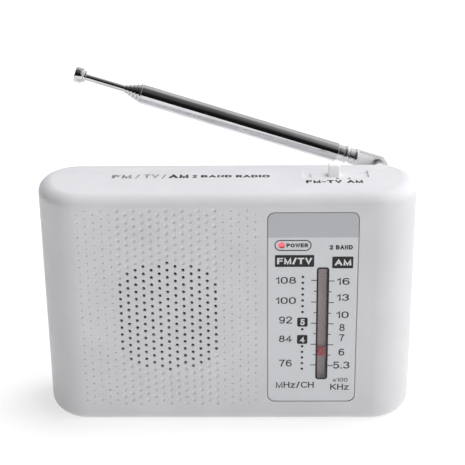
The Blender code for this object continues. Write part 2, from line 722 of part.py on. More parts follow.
def am_aerial(ferrite, copper, plastic):
    """Ferrite rod with its coil, held in two clips on the board."""
    y = 6.6
    z = 67.4
    rod_r = 4.0
    chamfer = rod_r - 0.4
    profile = ((0.0, -38.0), (chamfer, -38.0), (rod_r, -37.6), (rod_r, 7.6), (chamfer, 8.0), (0.0, 8.0))
    turned("ferrite_rod", profile, ferrite, at=(0.0, y, z), axis="X", segments=20)
    inner = rod_r + RUNNING_GAP
    coil = ((inner, -22.0), (inner + 0.9, -22.0), (inner + 0.9, -6.0), (inner, -6.0))
    turned("antenna_coil", coil, copper, at=(0.0, y, z), axis="X", segments=24, ring=True)
    for number, x in ((1, -34.0), (2, 3.0)):
        name = f"ferrite_holder_{number}"
        holder = boxed(name, (x - 1.5, PARTS_Y - y, -7.0), (x + 1.5, 4.9, 4.9), plastic, at=(0.0, y, z))
        bore = bmesh.new()
        add_turned(bore, ((inner, x - 3.0), (inner, x + 3.0)), axis="X", segments=20)
        boolean(holder, finish(bore, f"{name}_bore", at=(0.0, y, z)), "DIFFERENCE")


def speaker(steel, black, paper):
    """Shallow round speaker, seated in the rib behind the grille."""
    at = (GRILLE_X, 0.0, GRILLE_Z)
    front = INNER_FRONT_Y + GAP
    frame = (
        (16.9, front), (SPEAKER_R, front), (SPEAKER_R, -11.7), (17.6, -11.7),
        (10.2, -6.6), (7.0, -6.6), (7.0, -7.2), (9.8, -7.2), (16.9, -11.9),
    )
    turned("speaker_frame", frame, steel, at=at, segments=24, ring=True)
    magnet = ((0.0, -6.3), (MAGNET_R, -6.3), (MAGNET_R, -3.3), (MAGNET_R - 0.5, -2.8), (0.0, -2.8))
    turned("speaker_magnet", magnet, black, at=at, segments=24)
    cone = (
        (0.0, -9.7), (2.6, -9.4), (4.4, -8.5), (14.4, -12.0), (15.4, -12.5), (16.5, -12.5),
        (16.5, -12.1), (15.6, -12.1), (14.6, -11.6), (4.4, -8.0), (2.6, -9.0), (0.0, -9.3),
    )
    turned("speaker_cone", cone, paper, at=at, segments=24)


def power_led(red):
    """Round lamp on two long legs."""
    r = LAMP_D / 2
    tip = FRONT_Y + PLATE_THICK + GAP
    dome = (
        (0.0, tip), (r * 0.55, tip + 0.3), (r * 0.9, tip + 0.9), (r, tip + 1.7),
        (r, -10.6), (r + 0.3, -10.6), (r + 0.3, -9.8), (0.0, -9.8),
    )
    lamp = turned("power_led", dome, red, at=(LAMP_X, 0.0, LAMP_Z), segments=16)
    legs = bmesh.new()
    for x in (-1.27, 1.27):
        add_box(legs, (x - 0.25, -10.2, -0.25), (x + 0.25, BOARD_Y0 - GAP, 0.25))
    boolean(lamp, finish(legs, "lamp_legs", at=(LAMP_X, 0.0, LAMP_Z)), "UNION")


def battery_cell(number, z, direction, sleeve):
    """One AA cell; its positive end points along direction on X."""
    end = 10.7 if direction > 0 else -45.7
    profile = (
        (0.0, 0.0), (2.6, 0.0), (2.6, 1.2), (6.4, 1.2),
        (CELL_R, 1.9), (CELL_R, CELL_LENGTH - 0.7), (6.4, CELL_LENGTH), (0.0, CELL_LENGTH),
    )
    placed = [(radius, -direction * along) for radius, along in profile]
    turned(f"battery_cell_{number}", placed, sleeve, at=(end, CELL_Y, z), axis="X", segments=20)


def battery_spring(number, z, x_plate, direction, steel):
    """Conical contact spring that presses a cell's flat end."""
    steps = 8
    turns = 3
    count = turns * steps
    path = []
    for i in range(count + 1):
        share = i / count
        angle = math.tau * i / steps
        radius = 4.6 - 2.4 * share
        along = direction * (0.5 + 4.8 * share)
        path.append((along, radius * math.cos(angle), radius * math.sin(angle)))
    bm = bmesh.new()
    add_tube(bm, path, 0.35, 5)
    finish(bm, f"battery_spring_{number}", steel, at=(x_plate, CELL_Y, z))


def batteries(sleeve, steel):
    """Cells, springs and contact plates in the battery box."""
    battery_cell(1, CELL_ZS[0], 1, sleeve)
    battery_cell(2, CELL_ZS[1], -1, sleeve)
    left = BAY_LEFT + GAP
    right = BAY_RIGHT - GAP
    battery_spring(1, CELL_ZS[0], left + 0.5, 1, steel)
    battery_spring(2, CELL_ZS[1], right - 0.5, -1, steel)
    boxed("battery_link_plate", (left, 0.0, 4.4), (left + 0.4, 12.4, 32.6), steel)
    for name, z in (("battery_positive_plate", CELL_ZS[0]), ("battery_negative_plate", CELL_ZS[1])):
        boxed(name, (right - 0.4, 0.0, z - 6.4), (right, 12.4, z + 6.4), steel)


def fastener(name, x, z, head_y, head_r, shank_r, length, steel):
    """Round-headed screw driven forwards from head_y."""
    profile = (
        (0.0, -length), (shank_r * 0.4, -length), (shank_r, 1.4 - length), (shank_r, 0.0),
        (head_r, 0.0), (head_r, 0.7), (head_r * 0.7, 1.4), (0.0, 1.4),
    )
    screw = turned(name, profile, steel, at=(x, head_y, z), segments=16)
    cross = bmesh.new()
    add_box(cross, (-head_r * 0.55, 0.7, -0.25), (head_r * 0.55, 2.0, 0.25))
    boolean(screw, finish(cross, f"{name}_slot", at=(x, head_y, z)), "DIFFERENCE")


def fasteners(steel):
    """Screws that hold the case and the board."""
    for number, (x, z) in enumerate(CASE_SCREWS, 1):
        fastener(f"case_screw_{number}", x, z, 8.9, 2.3, 1.0, 13.0, steel)
    for number, (x, z) in enumerate(BOARD_SCREWS, 1):
        fastener(f"board_screw_{number}", x, z, PARTS_Y, 2.2, 0.8, 8.0, steel)


def along_antenna(profile):
    """A profile measured from the pivot towards the tip, which lies at -X of the antenna's own frame."""
    return [(radius, -distance) for radius, distance in profile]


def antenna_knuckle(chrome, pivot):
    """Solid base of the antenna: a flat tongue with a screw hole, then a grooved plug for the tube."""
    inner = TUBE_RADII[0] - TUBE_WALL - 0.1
    profile = (
        (0.0, 7.2), (2.95, 7.2), (2.95, 8.1), (2.7, 8.3), (2.7, 9.8), (2.25, 10.0), (2.25, 10.4), (2.95, 10.6),
        (2.95, 11.4), (2.7, 11.6), (2.7, TUBE_START - 0.3), (inner, TUBE_START - 0.3),
        (inner, PLUG_END), (0.0, PLUG_END),
    )
    knuckle = turned("antenna_knuckle", along_antenna(profile), chrome, parent=pivot, axis="X", segments=16)
    half = 2.75
    outline = [(-8.0, -half), (-8.0, half)]
    for i in range(7):
        angle = math.pi / 2 - math.pi * i / 6
        outline.append((0.4 + half * math.cos(angle), half * math.sin(angle)))
    tongue = bmesh.new()
    add_prism(tongue, outline, -1.2, 1.2)
    boolean(knuckle, finish(tongue, "tongue_form", parent=pivot), "UNION")
    hole = bmesh.new()
    add_disc(hole, 1.1, -3.0, 3.0, segments=12)
    boolean(knuckle, finish(hole, "tongue_hole", parent=pivot), "DIFFERENCE")


def antenna_tube(number, chrome, pivot):
    """One hollow section; each is a step smaller and stands a step further out."""
    outer = TUBE_RADII[number - 1]
    inner = outer - TUBE_WALL
    start = TUBE_START if number == 1 else PLUG_END + 1.2 * number
    end = TUBE_END + TUBE_STEP * (number - 1)
    lip = inner - 0.08
    profile = (
        (inner, start), (outer, start), (outer, end - 0.5), (outer - 0.15, end),
        (lip, end), (lip, end - 0.6), (inner, end - 0.6),
    )
    name = f"antenna_tube_{number}"
    turned(name, along_antenna(profile), chrome, parent=pivot, axis="X", segments=16, ring=True)


def antenna(chrome, steel):
    """Telescopic antenna on its pivot behind the case, raised as it stands in use."""
    pivot = axle_empty("antenna_pivot", PIVOT_X, PIVOT_Y, PIVOT_Z, ANTENNA_RISE)
    antenna_knuckle(chrome, pivot)
    for number in range(1, len(TUBE_RADII) + 1):
        antenna_tube(number, chrome, pivot)
    last = TUBE_END + TUBE_STEP * (len(TUBE_RADII) - 1)
    tip_start = last + ROD_OUT
    rod = ((0.0, ROD_START), (ROD_R, ROD_START), (ROD_R, tip_start + 1.6), (0.0, tip_start + 1.6))
    turned("antenna_rod", along_antenna(rod), chrome, parent=pivot, axis="X", segments=16)
    bore = ROD_R + 0.1
    tip_end = tip_start + TIP_LENGTH
    tip = (
        (0.0, tip_end), (TIP_R - 0.4, tip_end), (TIP_R, tip_end - 0.4), (TIP_R, tip_start + 0.9),
        (1.8, tip_start + 0.7), (1.8, tip_start), (bore, tip_start),
        (bore, tip_start + 2.0), (0.0, tip_start + 2.0),
    )
    turned("antenna_tip", along_antenna(tip), chrome, parent=pivot, axis="X", segments=16)
    washer = ((1.1, REAR_Y + 0.4), (1.9, REAR_Y + 0.4), (1.9, PIVOT_Y - 1.5), (1.1, PIVOT_Y - 1.5))
    turned("antenna_washer", washer, steel, at=(PIVOT_X, 0.0, PIVOT_Z), segments=20, ring=True)
    head_y = PIVOT_Y + 1.5
    fastener("antenna_screw", PIVOT_X, PIVOT_Z, head_y, 2.4, 0.85, head_y - 9.4, steel)


def build():
    """Clear the scene and make every piece of the radio."""
    for obj in list(bpy.data.objects):
        bpy.data.objects.remove(obj)
    white = material("case_white", WHITE, 0.42)
    silver = material("plate_silver", (0.55, 0.57, 0.60), 0.35, 0.4)
    smoke = material("window_smoke", (0.25, 0.21, 0.20), 0.15)
    red = material("pointer_red", (0.62, 0.04, 0.08), 0.4)
    lamp_red = material("lamp_red", (0.75, 0.08, 0.10), 0.2)
    black = material("black_plastic", (0.03, 0.03, 0.03), 0.5)
    ivory = material("ivory_plastic", (0.75, 0.72, 0.62), 0.45)
    chrome = material("chrome", (0.80, 0.80, 0.82), 0.08, 1.0)
    steel = material("plated_steel", (0.60, 0.60, 0.60), 0.3, 1.0)
    green = material("board_green", (0.05, 0.22, 0.10), 0.4)
    copper = material("enamelled_copper", (0.60, 0.28, 0.10), 0.3, 0.8)
    blue = material("sleeve_blue", (0.05, 0.09, 0.28), 0.35)
    orange = material("filter_orange", (0.75, 0.28, 0.04), 0.45)
    grey = material("ferrite_grey", (0.08, 0.08, 0.09), 0.7)
    paper = material("cone_paper", (0.05, 0.05, 0.05), 0.9)
    sleeve = material("cell_sleeve", (0.10, 0.10, 0.12), 0.3)

    front_shell(white)
    rear_shell(white)
    battery_door(white)
    dial_plate(silver)
    dial_window(smoke)
    dial_pointer(red)
    tuning(black, ivory, steel)
    volume(black, steel)
    band_switch(black, white)
    circuit_board(green)
    board_parts(black, steel, copper, blue, orange)
    am_aerial(grey, copper, ivory)
    speaker(steel, grey, paper)
    power_led(lamp_red)
    batteries(sleeve, steel)
    fasteners(steel)
    antenna(chrome, steel)


build()
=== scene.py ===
"""Looks of the small tabletop radio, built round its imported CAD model.

The frame's +X is the radio's right as seen from the front, -Y is the front and +Z is up.
"""

import json
from math import cos, hypot, pi, radians, sin, sqrt, tau

import bmesh
import bpy
from mathutils import Matrix, Vector

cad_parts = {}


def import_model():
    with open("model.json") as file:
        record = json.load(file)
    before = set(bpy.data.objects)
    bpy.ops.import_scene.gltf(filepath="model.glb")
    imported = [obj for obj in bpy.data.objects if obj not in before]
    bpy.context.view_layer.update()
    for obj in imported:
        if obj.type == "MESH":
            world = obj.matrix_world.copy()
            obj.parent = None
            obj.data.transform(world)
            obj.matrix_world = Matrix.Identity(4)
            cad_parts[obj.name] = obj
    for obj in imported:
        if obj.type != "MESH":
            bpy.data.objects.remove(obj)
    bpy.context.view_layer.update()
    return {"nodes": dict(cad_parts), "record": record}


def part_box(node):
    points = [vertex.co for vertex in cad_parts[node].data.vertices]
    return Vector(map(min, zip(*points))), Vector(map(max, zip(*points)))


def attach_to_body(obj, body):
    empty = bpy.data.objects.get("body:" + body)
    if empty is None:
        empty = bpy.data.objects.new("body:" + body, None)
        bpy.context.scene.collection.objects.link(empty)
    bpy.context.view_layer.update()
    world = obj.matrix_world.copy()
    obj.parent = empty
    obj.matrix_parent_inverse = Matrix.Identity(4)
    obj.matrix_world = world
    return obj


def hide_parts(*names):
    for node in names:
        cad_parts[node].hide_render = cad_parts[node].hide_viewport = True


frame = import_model()
MM = 0.001


def box_mm(node):
    """Lowest and highest corner of a CAD node, in millimetres."""
    low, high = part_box(node)
    return Vector(low) / MM, Vector(high) / MM


def middle_mm(node):
    """Middle of a CAD node's box, in millimetres."""
    low, high = box_mm(node)
    return (low + high) / 2


# Case: flat front and back with elliptical ends, widest at WIDEST_Y
SHELL_LOW, SHELL_HIGH = box_mm("front_shell")
CASE_WIDTH = SHELL_HIGH.x - SHELL_LOW.x
CASE_HEIGHT = SHELL_HIGH.z
FRONT_Y = SHELL_LOW.y
REAR_Y = -FRONT_Y
SEAM_Y = 6.0
SEAM_GAP = 0.05
WIDEST_Y = 3.0
FRONT_CORNER = 13.5
REAR_CORNER = 11.7
TOP_FILLET = 3.8
TOP_END_INSET = 4.6
BOTTOM_FILLET = 2.2
WALL = 2.0
HOLLOW_BOTTOM_FILLET = 0.8
HOLLOW_TIGHTER = 1.6
OUTSIDE = 5.0

# Grille
GRILLE_PITCH = 2.39
GRILLE_X = -17.9
GRILLE_Z = 35.9
OPEN_HALF_HEIGHTS = (15, 14, 14, 14, 13, 12, 10)
LAST_COLUMN = 11
TOP_ROW = 29
BOTTOM_ROW = -25
OPEN_HOLE_R = 0.475
GRILLE_WALL = 1.0
MOUTH = 0.14
WIDE_DIMPLE = (0.78, 0.30)
SMALL_DIMPLE = (0.48, 0.24)
GRILLE_POCKET_R = 18.6

# Dial plate
PLATE_LOW, PLATE_HIGH = box_mm("dial_plate")
PLATE_CORNER = 2.3
PLATE_FIT = 0.15
PLATE_RECESS = 0.8
PLATE_FACE_Y = FRONT_Y + 0.06
WINDOW_LOW, WINDOW_HIGH = box_mm("dial_window")
WINDOW_SINK = 0.03
SLOT_X = (WINDOW_LOW.x + WINDOW_HIGH.x) / 2
SLOT_WIDTH = WINDOW_HIGH.x - WINDOW_LOW.x + 0.5
SLOT_BOTTOM = WINDOW_LOW.z - 0.25
SLOT_TOP = WINDOW_HIGH.z + 0.25
CHANNEL_RIGHT = 30.65
CHANNEL_FLOOR_Y = -13.2
CHANNEL_BACK_Y = -12.3
SLIT_WIDTH = 0.85
LAMP = middle_mm("power_led")
LAMP_WINDOW_R = 1.05
LAMP_HOLE_R = 1.65
BAND_EDGE_Z = 61.85

# Band switch
KNOB_LOW, KNOB_HIGH = box_mm("band_switch_knob")
KNOB_X = (KNOB_LOW.x + KNOB_HIGH.x) / 2
KNOB_Y = (KNOB_LOW.y + KNOB_HIGH.y) / 2
KNOB_TRAVEL = 3.3
STEM_HALF_X = 1.5
STEM_HALF_Y = 1.05
STEM_ROOM = 0.4
COVER_HALF_X = 6.9
COVER_HALF_Y = 2.2
TROUGH_LEFT = 23.0
TROUGH_RIGHT = 42.8
TROUGH_FLOOR = CASE_HEIGHT - 0.7
TROUGH_HALF = 2.45

# Battery box and its door
DOOR_LOW, DOOR_HIGH = box_mm("battery_door")
BAY_LEFT = DOOR_LOW.x - 0.3
BAY_RIGHT = DOOR_HIGH.x + 0.3
BAY_BOTTOM = DOOR_LOW.z - 0.3
BAY_TOP = DOOR_HIGH.z + 0.3
BAY_FRONT_Y = -1.2
BAY_WALL = 1.2

# Screw posts and wells
POST_R = 3.75
WELL_R = 2.6
WELL_FLOOR = 8.6

# Thumbwheels
WHEEL_Y0 = box_mm("tuning_wheel")[0].y
WHEEL_Y1 = box_mm("tuning_wheel")[1].y
RIB_DEPTH = 0.42
WHEEL_SLOT_X = (50.2, 60.0)

# Antenna, measured from its pivot along its own length
ANTENNA_RISE = radians(17.8)
PIVOT_X = 47.2
PIVOT_Y = 18.4
PIVOT_Z = 72.6
TUBE_RADII = (3.0, 2.6, 2.2, 1.8, 1.4)
TUBE_WALL = 0.25
TUBE_START = 13.8
TUBE_END = 78.2
TUBE_STEP = 1.15
PLUG_END = 20.0
ROD_R = 1.0
ROD_START = 33.0
ROD_OUT = 12.4
TIP_LENGTH = 3.5
TIP_R = 2.35
TONGUE_START = -8.0
TONGUE_HALF = 2.75
PIVOT_BLOCK = ((PIVOT_X - 4.0, 8.0, 69.8), (PIVOT_X + 4.0, REAR_Y - 1.2, 73.6))


# ---- Mesh helpers


def add_loft(bm, rings):
    """Join rings of equal length into a closed skin with flat ends."""
    loops = [[bm.verts.new(point) for point in ring] for ring in rings]
    count = len(loops[0])
    for lower, upper in zip(loops, loops[1:]):
        for i in range(count):
            j = (i + 1) % count
            bm.faces.new((lower[i], lower[j], upper[j], upper[i]))
    bm.faces.new(loops[0])
    bm.faces.new(loops[-1])


def add_box(bm, low, high):
    """Add a box between two corners."""
    size = Vector(high) - Vector(low)
    middle = (Vector(high) + Vector(low)) / 2
    bmesh.ops.create_cube(bm, size=1.0, matrix=Matrix.Translation(middle) @ Matrix.Diagonal((*size, 1.0)))


def on_axis(axis, radius, angle, along):
    """A point at an angle round one of the three axes."""
    side = radius * cos(angle)
    rise = radius * sin(angle)
    return {"X": (along, side, rise), "Y": (side, along, rise), "Z": (side, rise, along)}[axis]


def add_turned(bm, profile, axis="Y", segments=24, ring=False, centre=(0.0, 0.0, 0.0)):
    """Turn a profile of (radius, distance along the axis); ring closes it into a hollow ring."""
    loops = []
    for radius, along in profile:
        angles = [0.0] if radius == 0 else [tau * i / segments for i in range(segments)]
        points = [Vector(on_axis(axis, radius, angle, along)) + Vector(centre) for angle in angles]
        loops.append([bm.verts.new(point) for point in points])
    pairs = list(zip(loops, loops[1:]))
    if ring:
        pairs.append((loops[-1], loops[0]))
    for first, second in pairs:
        for i in range(segments):
            j = (i + 1) % segments
            corners = [first[i % len(first)], first[j % len(first)]]
            corners += [second[j % len(second)], second[i % len(second)]]
            bm.faces.new(list(dict.fromkeys(corners)))
    if not ring:
        for loop in (loops[0], loops[-1]):
            if len(loop) > 1:
                bm.faces.new(loop)


def add_prism(bm, outline, y0, y1):
    """Add an outline in X and Z, thick from y0 to y1."""
    add_loft(bm, [[(x, y, z) for x, z in outline] for y in (y0, y1)])


def rounded(left, right, bottom, top, radius, steps=10):
    """Outline of a rectangle with round corners, in X and Z."""
    centres = (
        (right - radius, bottom + radius, -pi / 2),
        (right - radius, top - radius, 0.0),
        (left + radius, top - radius, pi / 2),
        (left + radius, bottom + radius, pi),
    )
    outline = []
    for x, z, start in centres:
        for i in range(steps + 1):
            angle = start + pi / 2 * i / steps
            outline.append((x + radius * cos(angle), z + radius * sin(angle)))
    return outline


def add_slab(bm, low, high, levels, corner, follow=0.0):
    """Add a slab with round corners; levels are (inset, y), and follow shrinks the corners with the inset."""
    rings = []
    for inset, y in levels:
        sides = (low.x + inset, high.x - inset, low.z + inset, high.z - inset)
        rings.append([(x, y, z) for x, z in rounded(*sides, corner - follow * inset)])
    add_loft(bm, rings)


def quarter(steps, first=0):
    """Sine and cosine at even steps through a quarter turn."""
    turns = [pi / 2 * i / steps for i in range(first, steps + 1)]
    return [(sin(turn), cos(turn)) for turn in turns]


def in_scene(name, data):
    """A new object in the scene."""
    obj = bpy.data.objects.new(name, data)
    bpy.context.scene.collection.objects.link(obj)
    return obj


def finish(bm, name, paint, sharp=35.0, place=None):
    """Turn a bmesh in millimetres into an object in metres."""
    bmesh.ops.recalc_face_normals(bm, faces=bm.faces)
    if place is not None:
        bm.transform(place)
    bm.transform(Matrix.Scale(MM, 4))
    mesh = bpy.data.meshes.new(name)
    bm.to_mesh(mesh)
    bm.free()
    mesh.shade_smooth()
    mesh.set_sharp_from_angle(angle=radians(sharp))
    mesh.materials.append(paint)
    return in_scene(name, mesh)


def form(name, paint, add, *shape, place=None, **options):
    """An object made of one shape, by one of the add functions."""
    bm = bmesh.new()
    add(bm, *shape, **options)
    return finish(bm, name, paint, place=place)


def boolean(obj, cutter, operation):
    """Combine obj with the cutter now, and remove the cutter; the cutter's paint comes along."""
    paint = cutter.data.materials[0]
    if obj.data.materials.find(paint.name) < 0:
        obj.data.materials.append(paint)
    for face in cutter.data.polygons:
        face.material_index = obj.data.materials.find(paint.name)
    modifier = obj.modifiers.new(operation, "BOOLEAN")
    modifier.operation = operation
    modifier.object = cutter
    modifier.solver = "MANIFOLD"
    depsgraph = bpy.context.evaluated_depsgraph_get()
    mesh = bpy.data.meshes.new_from_object(obj.evaluated_get(depsgraph), depsgraph=depsgraph)
    obj.modifiers.clear()
    old = obj.data
    obj.data = mesh
    bpy.data.meshes.remove(old)
    bpy.data.objects.remove(cutter)


def carve(obj, add, *shape, paint=None, **options):
    """Cut one shape out of obj, leaving the paint given or obj's own."""
    boolean(obj, form("cutter", paint or obj.data.materials[0], add, *shape, **options), "DIFFERENCE")


def attach(obj, add, *shape, paint=None, **options):
    """Join one shape to obj, in the paint given or obj's own."""
    boolean(obj, form("addition", paint or obj.data.materials[0], add, *shape, **options), "UNION")


def settle_shading(obj):
    """Smooth shading with crisp edges, and normals led by the large faces."""
    obj.data.shade_smooth()
    obj.data.set_sharp_from_angle(angle=radians(32.0))
    weighted = obj.modifiers.new("normals", "WEIGHTED_NORMAL")
    weighted.keep_sharp = True


# ---- Materials


def set_inputs(node, values):
    """Set a node's inputs by name or number; a socket given as a value is linked."""
    for name, value in values.items():
        if isinstance(value, bpy.types.NodeSocket):
            node.id_data.links.new(value, node.inputs[name])
        else:
            node.inputs[name].default_value = value


def add_node(tree, kind, inputs=None):
    """A new shader node with its inputs set."""
    node = tree.nodes.new("ShaderNode" + kind)
    set_inputs(node, inputs or {})
    return node


def new_material(name, colour, roughness, metallic=0.0):
    """A node material; returns it with its node tree and its main shader."""
    made = bpy.data.materials.new(name)
    made.use_nodes = True
    made.diffuse_color = (*colour, 1.0)
    shader = made.node_tree.nodes["Principled BSDF"]
    set_inputs(shader, {"Base Color": (*colour, 1.0), "Roughness": roughness, "Metallic": metallic})
    return made, made.node_tree, shader


def noise(tree, scale, detail=3.0, stretch=(1.0, 1.0, 1.0)):
    """Noise over the object, in cycles a metre, stretched along an axis if asked."""
    place = add_node(tree, "TexCoord").outputs["Object"]
    stretched = add_node(tree, "Mapping", {"Vector": place, "Scale": stretch}).outputs["Vector"]
    return add_node(tree, "TexNoise", {"Vector": stretched, "Scale": scale, "Detail": detail}).outputs["Fac"]


def spread(tree, value, low, high, from_low=0.3, from_high=0.7, kind="LINEAR"):
    """A value remapped from its usual range to low..high."""
    ends = {"From Min": from_low, "From Max": from_high, "To Min": low, "To Max": high}
    node = add_node(tree, "MapRange", {"Value": value, **ends})
    node.interpolation_type = kind
    return node.outputs["Result"]


def mix(tree, factor, first, second):
    """Two colours, each a triple or a socket, mixed by a value socket."""
    node = add_node(tree, "Mix")
    node.data_type = "RGBA"
    first, second = [(*colour, 1.0) if isinstance(colour, tuple) else colour for colour in (first, second)]
    set_inputs(node, {"Factor": factor, 6: first, 7: second})
    return node.outputs[2]


def bump(tree, shader, height, distance, strength):
    """Surface relief from a height socket; distance is in metres."""
    node = add_node(tree, "Bump", {"Height": height, "Distance": distance, "Strength": strength})
    set_inputs(shader, {"Normal": node.outputs["Normal"]})


def plastic(name, colour, roughness):
    """Moulded plastic: cloudy colour, uneven gloss and a fine spark-eroded grain."""
    made, tree, shader = new_material(name, colour, roughness)
    darker = tuple(part * 0.93 for part in colour)
    cloudy = mix(tree, spread(tree, noise(tree, 60.0), 0.0, 1.0), colour, darker)
    gloss = spread(tree, noise(tree, 350.0, 4.0), roughness - 0.06, roughness + 0.08)
    set_inputs(shader, {"Base Color": cloudy, "Roughness": gloss, "Specular IOR Level": 0.45})
    bump(tree, shader, noise(tree, 4200.0, 2.0), 0.00002, 0.35)
    return made


def metal(name, colour, roughness, stretch, scratch):
    """Plated or drawn metal: fine lines along it and small changes in polish."""
    made, tree, shader = new_material(name, colour, roughness, 1.0)
    lines = noise(tree, 900.0, 5.0, stretch)
    dull = tuple(part * 0.86 for part in colour)
    patchy = mix(tree, spread(tree, noise(tree, 130.0, 4.0), 0.0, 1.0), colour, dull)
    set_inputs(shader, {"Base Color": patchy, "Roughness": spread(tree, lines, roughness, roughness + scratch)})
    bump(tree, shader, lines, 0.000004, 0.2)
    return made


def mottled(name, colour, second, roughness, scale, grain=0.00003, metallic=0.0):
    """Two close colours in small patches, with a matching relief."""
    made, tree, shader = new_material(name, colour, roughness, metallic)
    patches = noise(tree, scale, 5.0)
    spotted = mix(tree, spread(tree, patches, 0.0, 1.0), colour, second)
    gloss = spread(tree, patches, roughness - 0.08, roughness + 0.08)
    set_inputs(shader, {"Base Color": spotted, "Roughness": gloss})
    bump(tree, shader, patches, grain, 0.4)
    return made


WHITE = plastic("white_case", (0.725, 0.72, 0.735), 0.42)
BLACK = plastic("black_wheel", (0.025, 0.025, 0.027), 0.45)
CHROME = metal("chrome_plate", (0.68, 0.68, 0.695), 0.05, (1.0, 8.0, 8.0), 0.05)
SATIN = metal("satin_chrome", (0.92, 0.92, 0.92), 0.16, (1.0, 8.0, 8.0), 0.08)
STEEL = metal("plated_steel_fine", (0.56, 0.56, 0.57), 0.28, (1.0, 6.0, 1.0), 0.18)


def silver_plate():
    """Silver lacquer on the dial plate, a darker band along its top, and fine flakes."""
    made, tree, shader = new_material("silver_lacquer", (0.57, 0.59, 0.61), 0.4, 0.25)
    place = add_node(tree, "TexCoord").outputs["Object"]
    height = add_node(tree, "SeparateXYZ", {"Vector": place}).outputs["Z"]
    edge = BAND_EDGE_Z * MM
    blur = 0.00008
    band = spread(tree, height, 0.0, 1.0, edge - blur, edge + blur)
    relief = noise(tree, 9000.0, 2.0)
    flakes = spread(tree, relief, 0.0, 1.0)
    light = mix(tree, flakes, (0.62, 0.63, 0.65), (0.68, 0.69, 0.71))
    dark = mix(tree, flakes, (0.455, 0.465, 0.49), (0.495, 0.505, 0.53))
    gloss = spread(tree, noise(tree, 300.0), 0.36, 0.46)
    set_inputs(shader, {"Base Color": mix(tree, band, light, dark), "Roughness": gloss})
    bump(tree, shader, relief, 0.000005, 0.3)
    return made


SILVER = silver_plate()
INK = mottled("dark_ink", (0.008, 0.008, 0.010), (0.014, 0.014, 0.016), 0.6, 2500.0, 0.000003)
GREY_INK = mottled("grey_ink", (0.020, 0.020, 0.024), (0.035, 0.035, 0.04), 0.6, 2500.0, 0.000003)
WORN_INK = mottled("worn_ink", (0.02, 0.02, 0.025), (0.55, 0.55, 0.56), 0.5, 1300.0, 0.000003)
WHITE_INK = mottled("white_ink", (0.80, 0.80, 0.80), (0.72, 0.72, 0.72), 0.5, 2500.0, 0.000003)


def smoke_window():
    """Smoky clear strip over the pointer, faintly streaked from moulding."""
    made, tree, shader = new_material("smoke_window", (0.32, 0.275, 0.275), 0.2)
    set_inputs(shader, {"Roughness": spread(tree, noise(tree, 700.0), 0.14, 0.26), "Alpha": 0.2})
    return made


def glowing_lamp():
    """Red lamp body that glows, brightest in patches round its middle."""
    made, tree, shader = new_material("glowing_lamp", (0.80, 0.06, 0.08), 0.25)
    patches = spread(tree, noise(tree, 1400.0, 2.0), 0.0, 1.0)
    colour = mix(tree, patches, (1.0, 0.11, 0.16), (1.0, 0.36, 0.40))
    set_inputs(shader, {"Emission Color": colour, "Emission Strength": 0.75})
    return made


def painted_glow_white():
    """White plastic, a little lighter than the case, with a painted glow: its emission lifts its shade, though it
    is no lamp.
    """
    made = plastic("white_knob_painted_glow", (0.78, 0.78, 0.79), 0.38)
    shader = made.node_tree.nodes["Principled BSDF"]
    # Painted light: a faint emission that brightens the knob.
    set_inputs(shader, {"Emission Color": (1.0, 0.99, 0.98, 1.0), "Emission Strength": 0.22})
    return made


SMOKE = smoke_window()
LAMP_RED = glowing_lamp()
KNOB_PAINTED_GLOW = painted_glow_white()
# Painted shade: the white plastic inside the dial's channel is given a darker grey-pink, standing in for its shade
# behind the smoky strip.
CHANNEL_PAINTED_SHADE = plastic("channel_painted_shade", (0.66, 0.59, 0.59), 0.6)
POINTER_RED = plastic("pointer_red_fine", (0.60, 0.01, 0.03), 0.35)
CELL_SLEEVE = mottled("cell_sleeve_fine", (0.08, 0.08, 0.10), (0.12, 0.12, 0.14), 0.35, 300.0, 0.00001, 0.5)
CELL_BAND = mottled("cell_band", (0.50, 0.52, 0.55), (0.44, 0.46, 0.49), 0.35, 300.0, 0.00001, 0.5)


# ---- Case


def case_ring(inset_x, inset_y, z, steps=18):
    """The case's plan at a height, drawn in from its widest outline."""
    half = CASE_WIDTH / 2
    corners = (
        (1, FRONT_CORNER, WIDEST_Y - FRONT_Y, -pi / 2),
        (1, REAR_CORNER, REAR_Y - WIDEST_Y, 0.0),
        (-1, REAR_CORNER, REAR_Y - WIDEST_Y, pi / 2),
        (-1, FRONT_CORNER, WIDEST_Y - FRONT_Y, pi),
    )
    ring = []
    for side, run, depth, start in corners:
        first = 1 if abs(cos(start)) > 0.5 else 0
        for i in range(first, steps + 1):
            angle = start + pi / 2 * i / steps
            x = side * (half - run) + (run - inset_x) * cos(angle)
            y = WIDEST_Y + (depth - inset_y) * sin(angle)
            ring.append((x, y, z))
    return ring


def case_form(name, shrink):
    """The closed outer form of the case, or the form of its hollow."""
    bottom = HOLLOW_BOTTOM_FILLET if shrink else BOTTOM_FILLET
    tighter = HOLLOW_TIGHTER if shrink else 0.0
    top = TOP_FILLET - tighter
    end = TOP_END_INSET - tighter
    rings = []
    for sine, cosine in quarter(8):
        inset = bottom * (1 - sine) + shrink
        rings.append(case_ring(inset, inset, shrink + bottom * (1 - cosine)))
    for sine, cosine in quarter(12):
        inset_x = end * (1 - cosine) + shrink
        inset_y = top * (1 - cosine) + shrink
        rings.append(case_ring(inset_x, inset_y, CASE_HEIGHT - shrink - top * (1 - sine)))
    return form(name, WHITE, add_loft, rings)


def half_case(name, y0, y1):
    """The hollow case between two depths."""
    shell = case_form(name, 0.0)
    boolean(shell, case_form("hollow", WALL), "DIFFERENCE")
    kept = ((-CASE_WIDTH, y0, -OUTSIDE), (CASE_WIDTH, y1, CASE_HEIGHT + OUTSIDE))
    boolean(shell, form("kept", WHITE, add_box, *kept), "INTERSECT")
    return shell


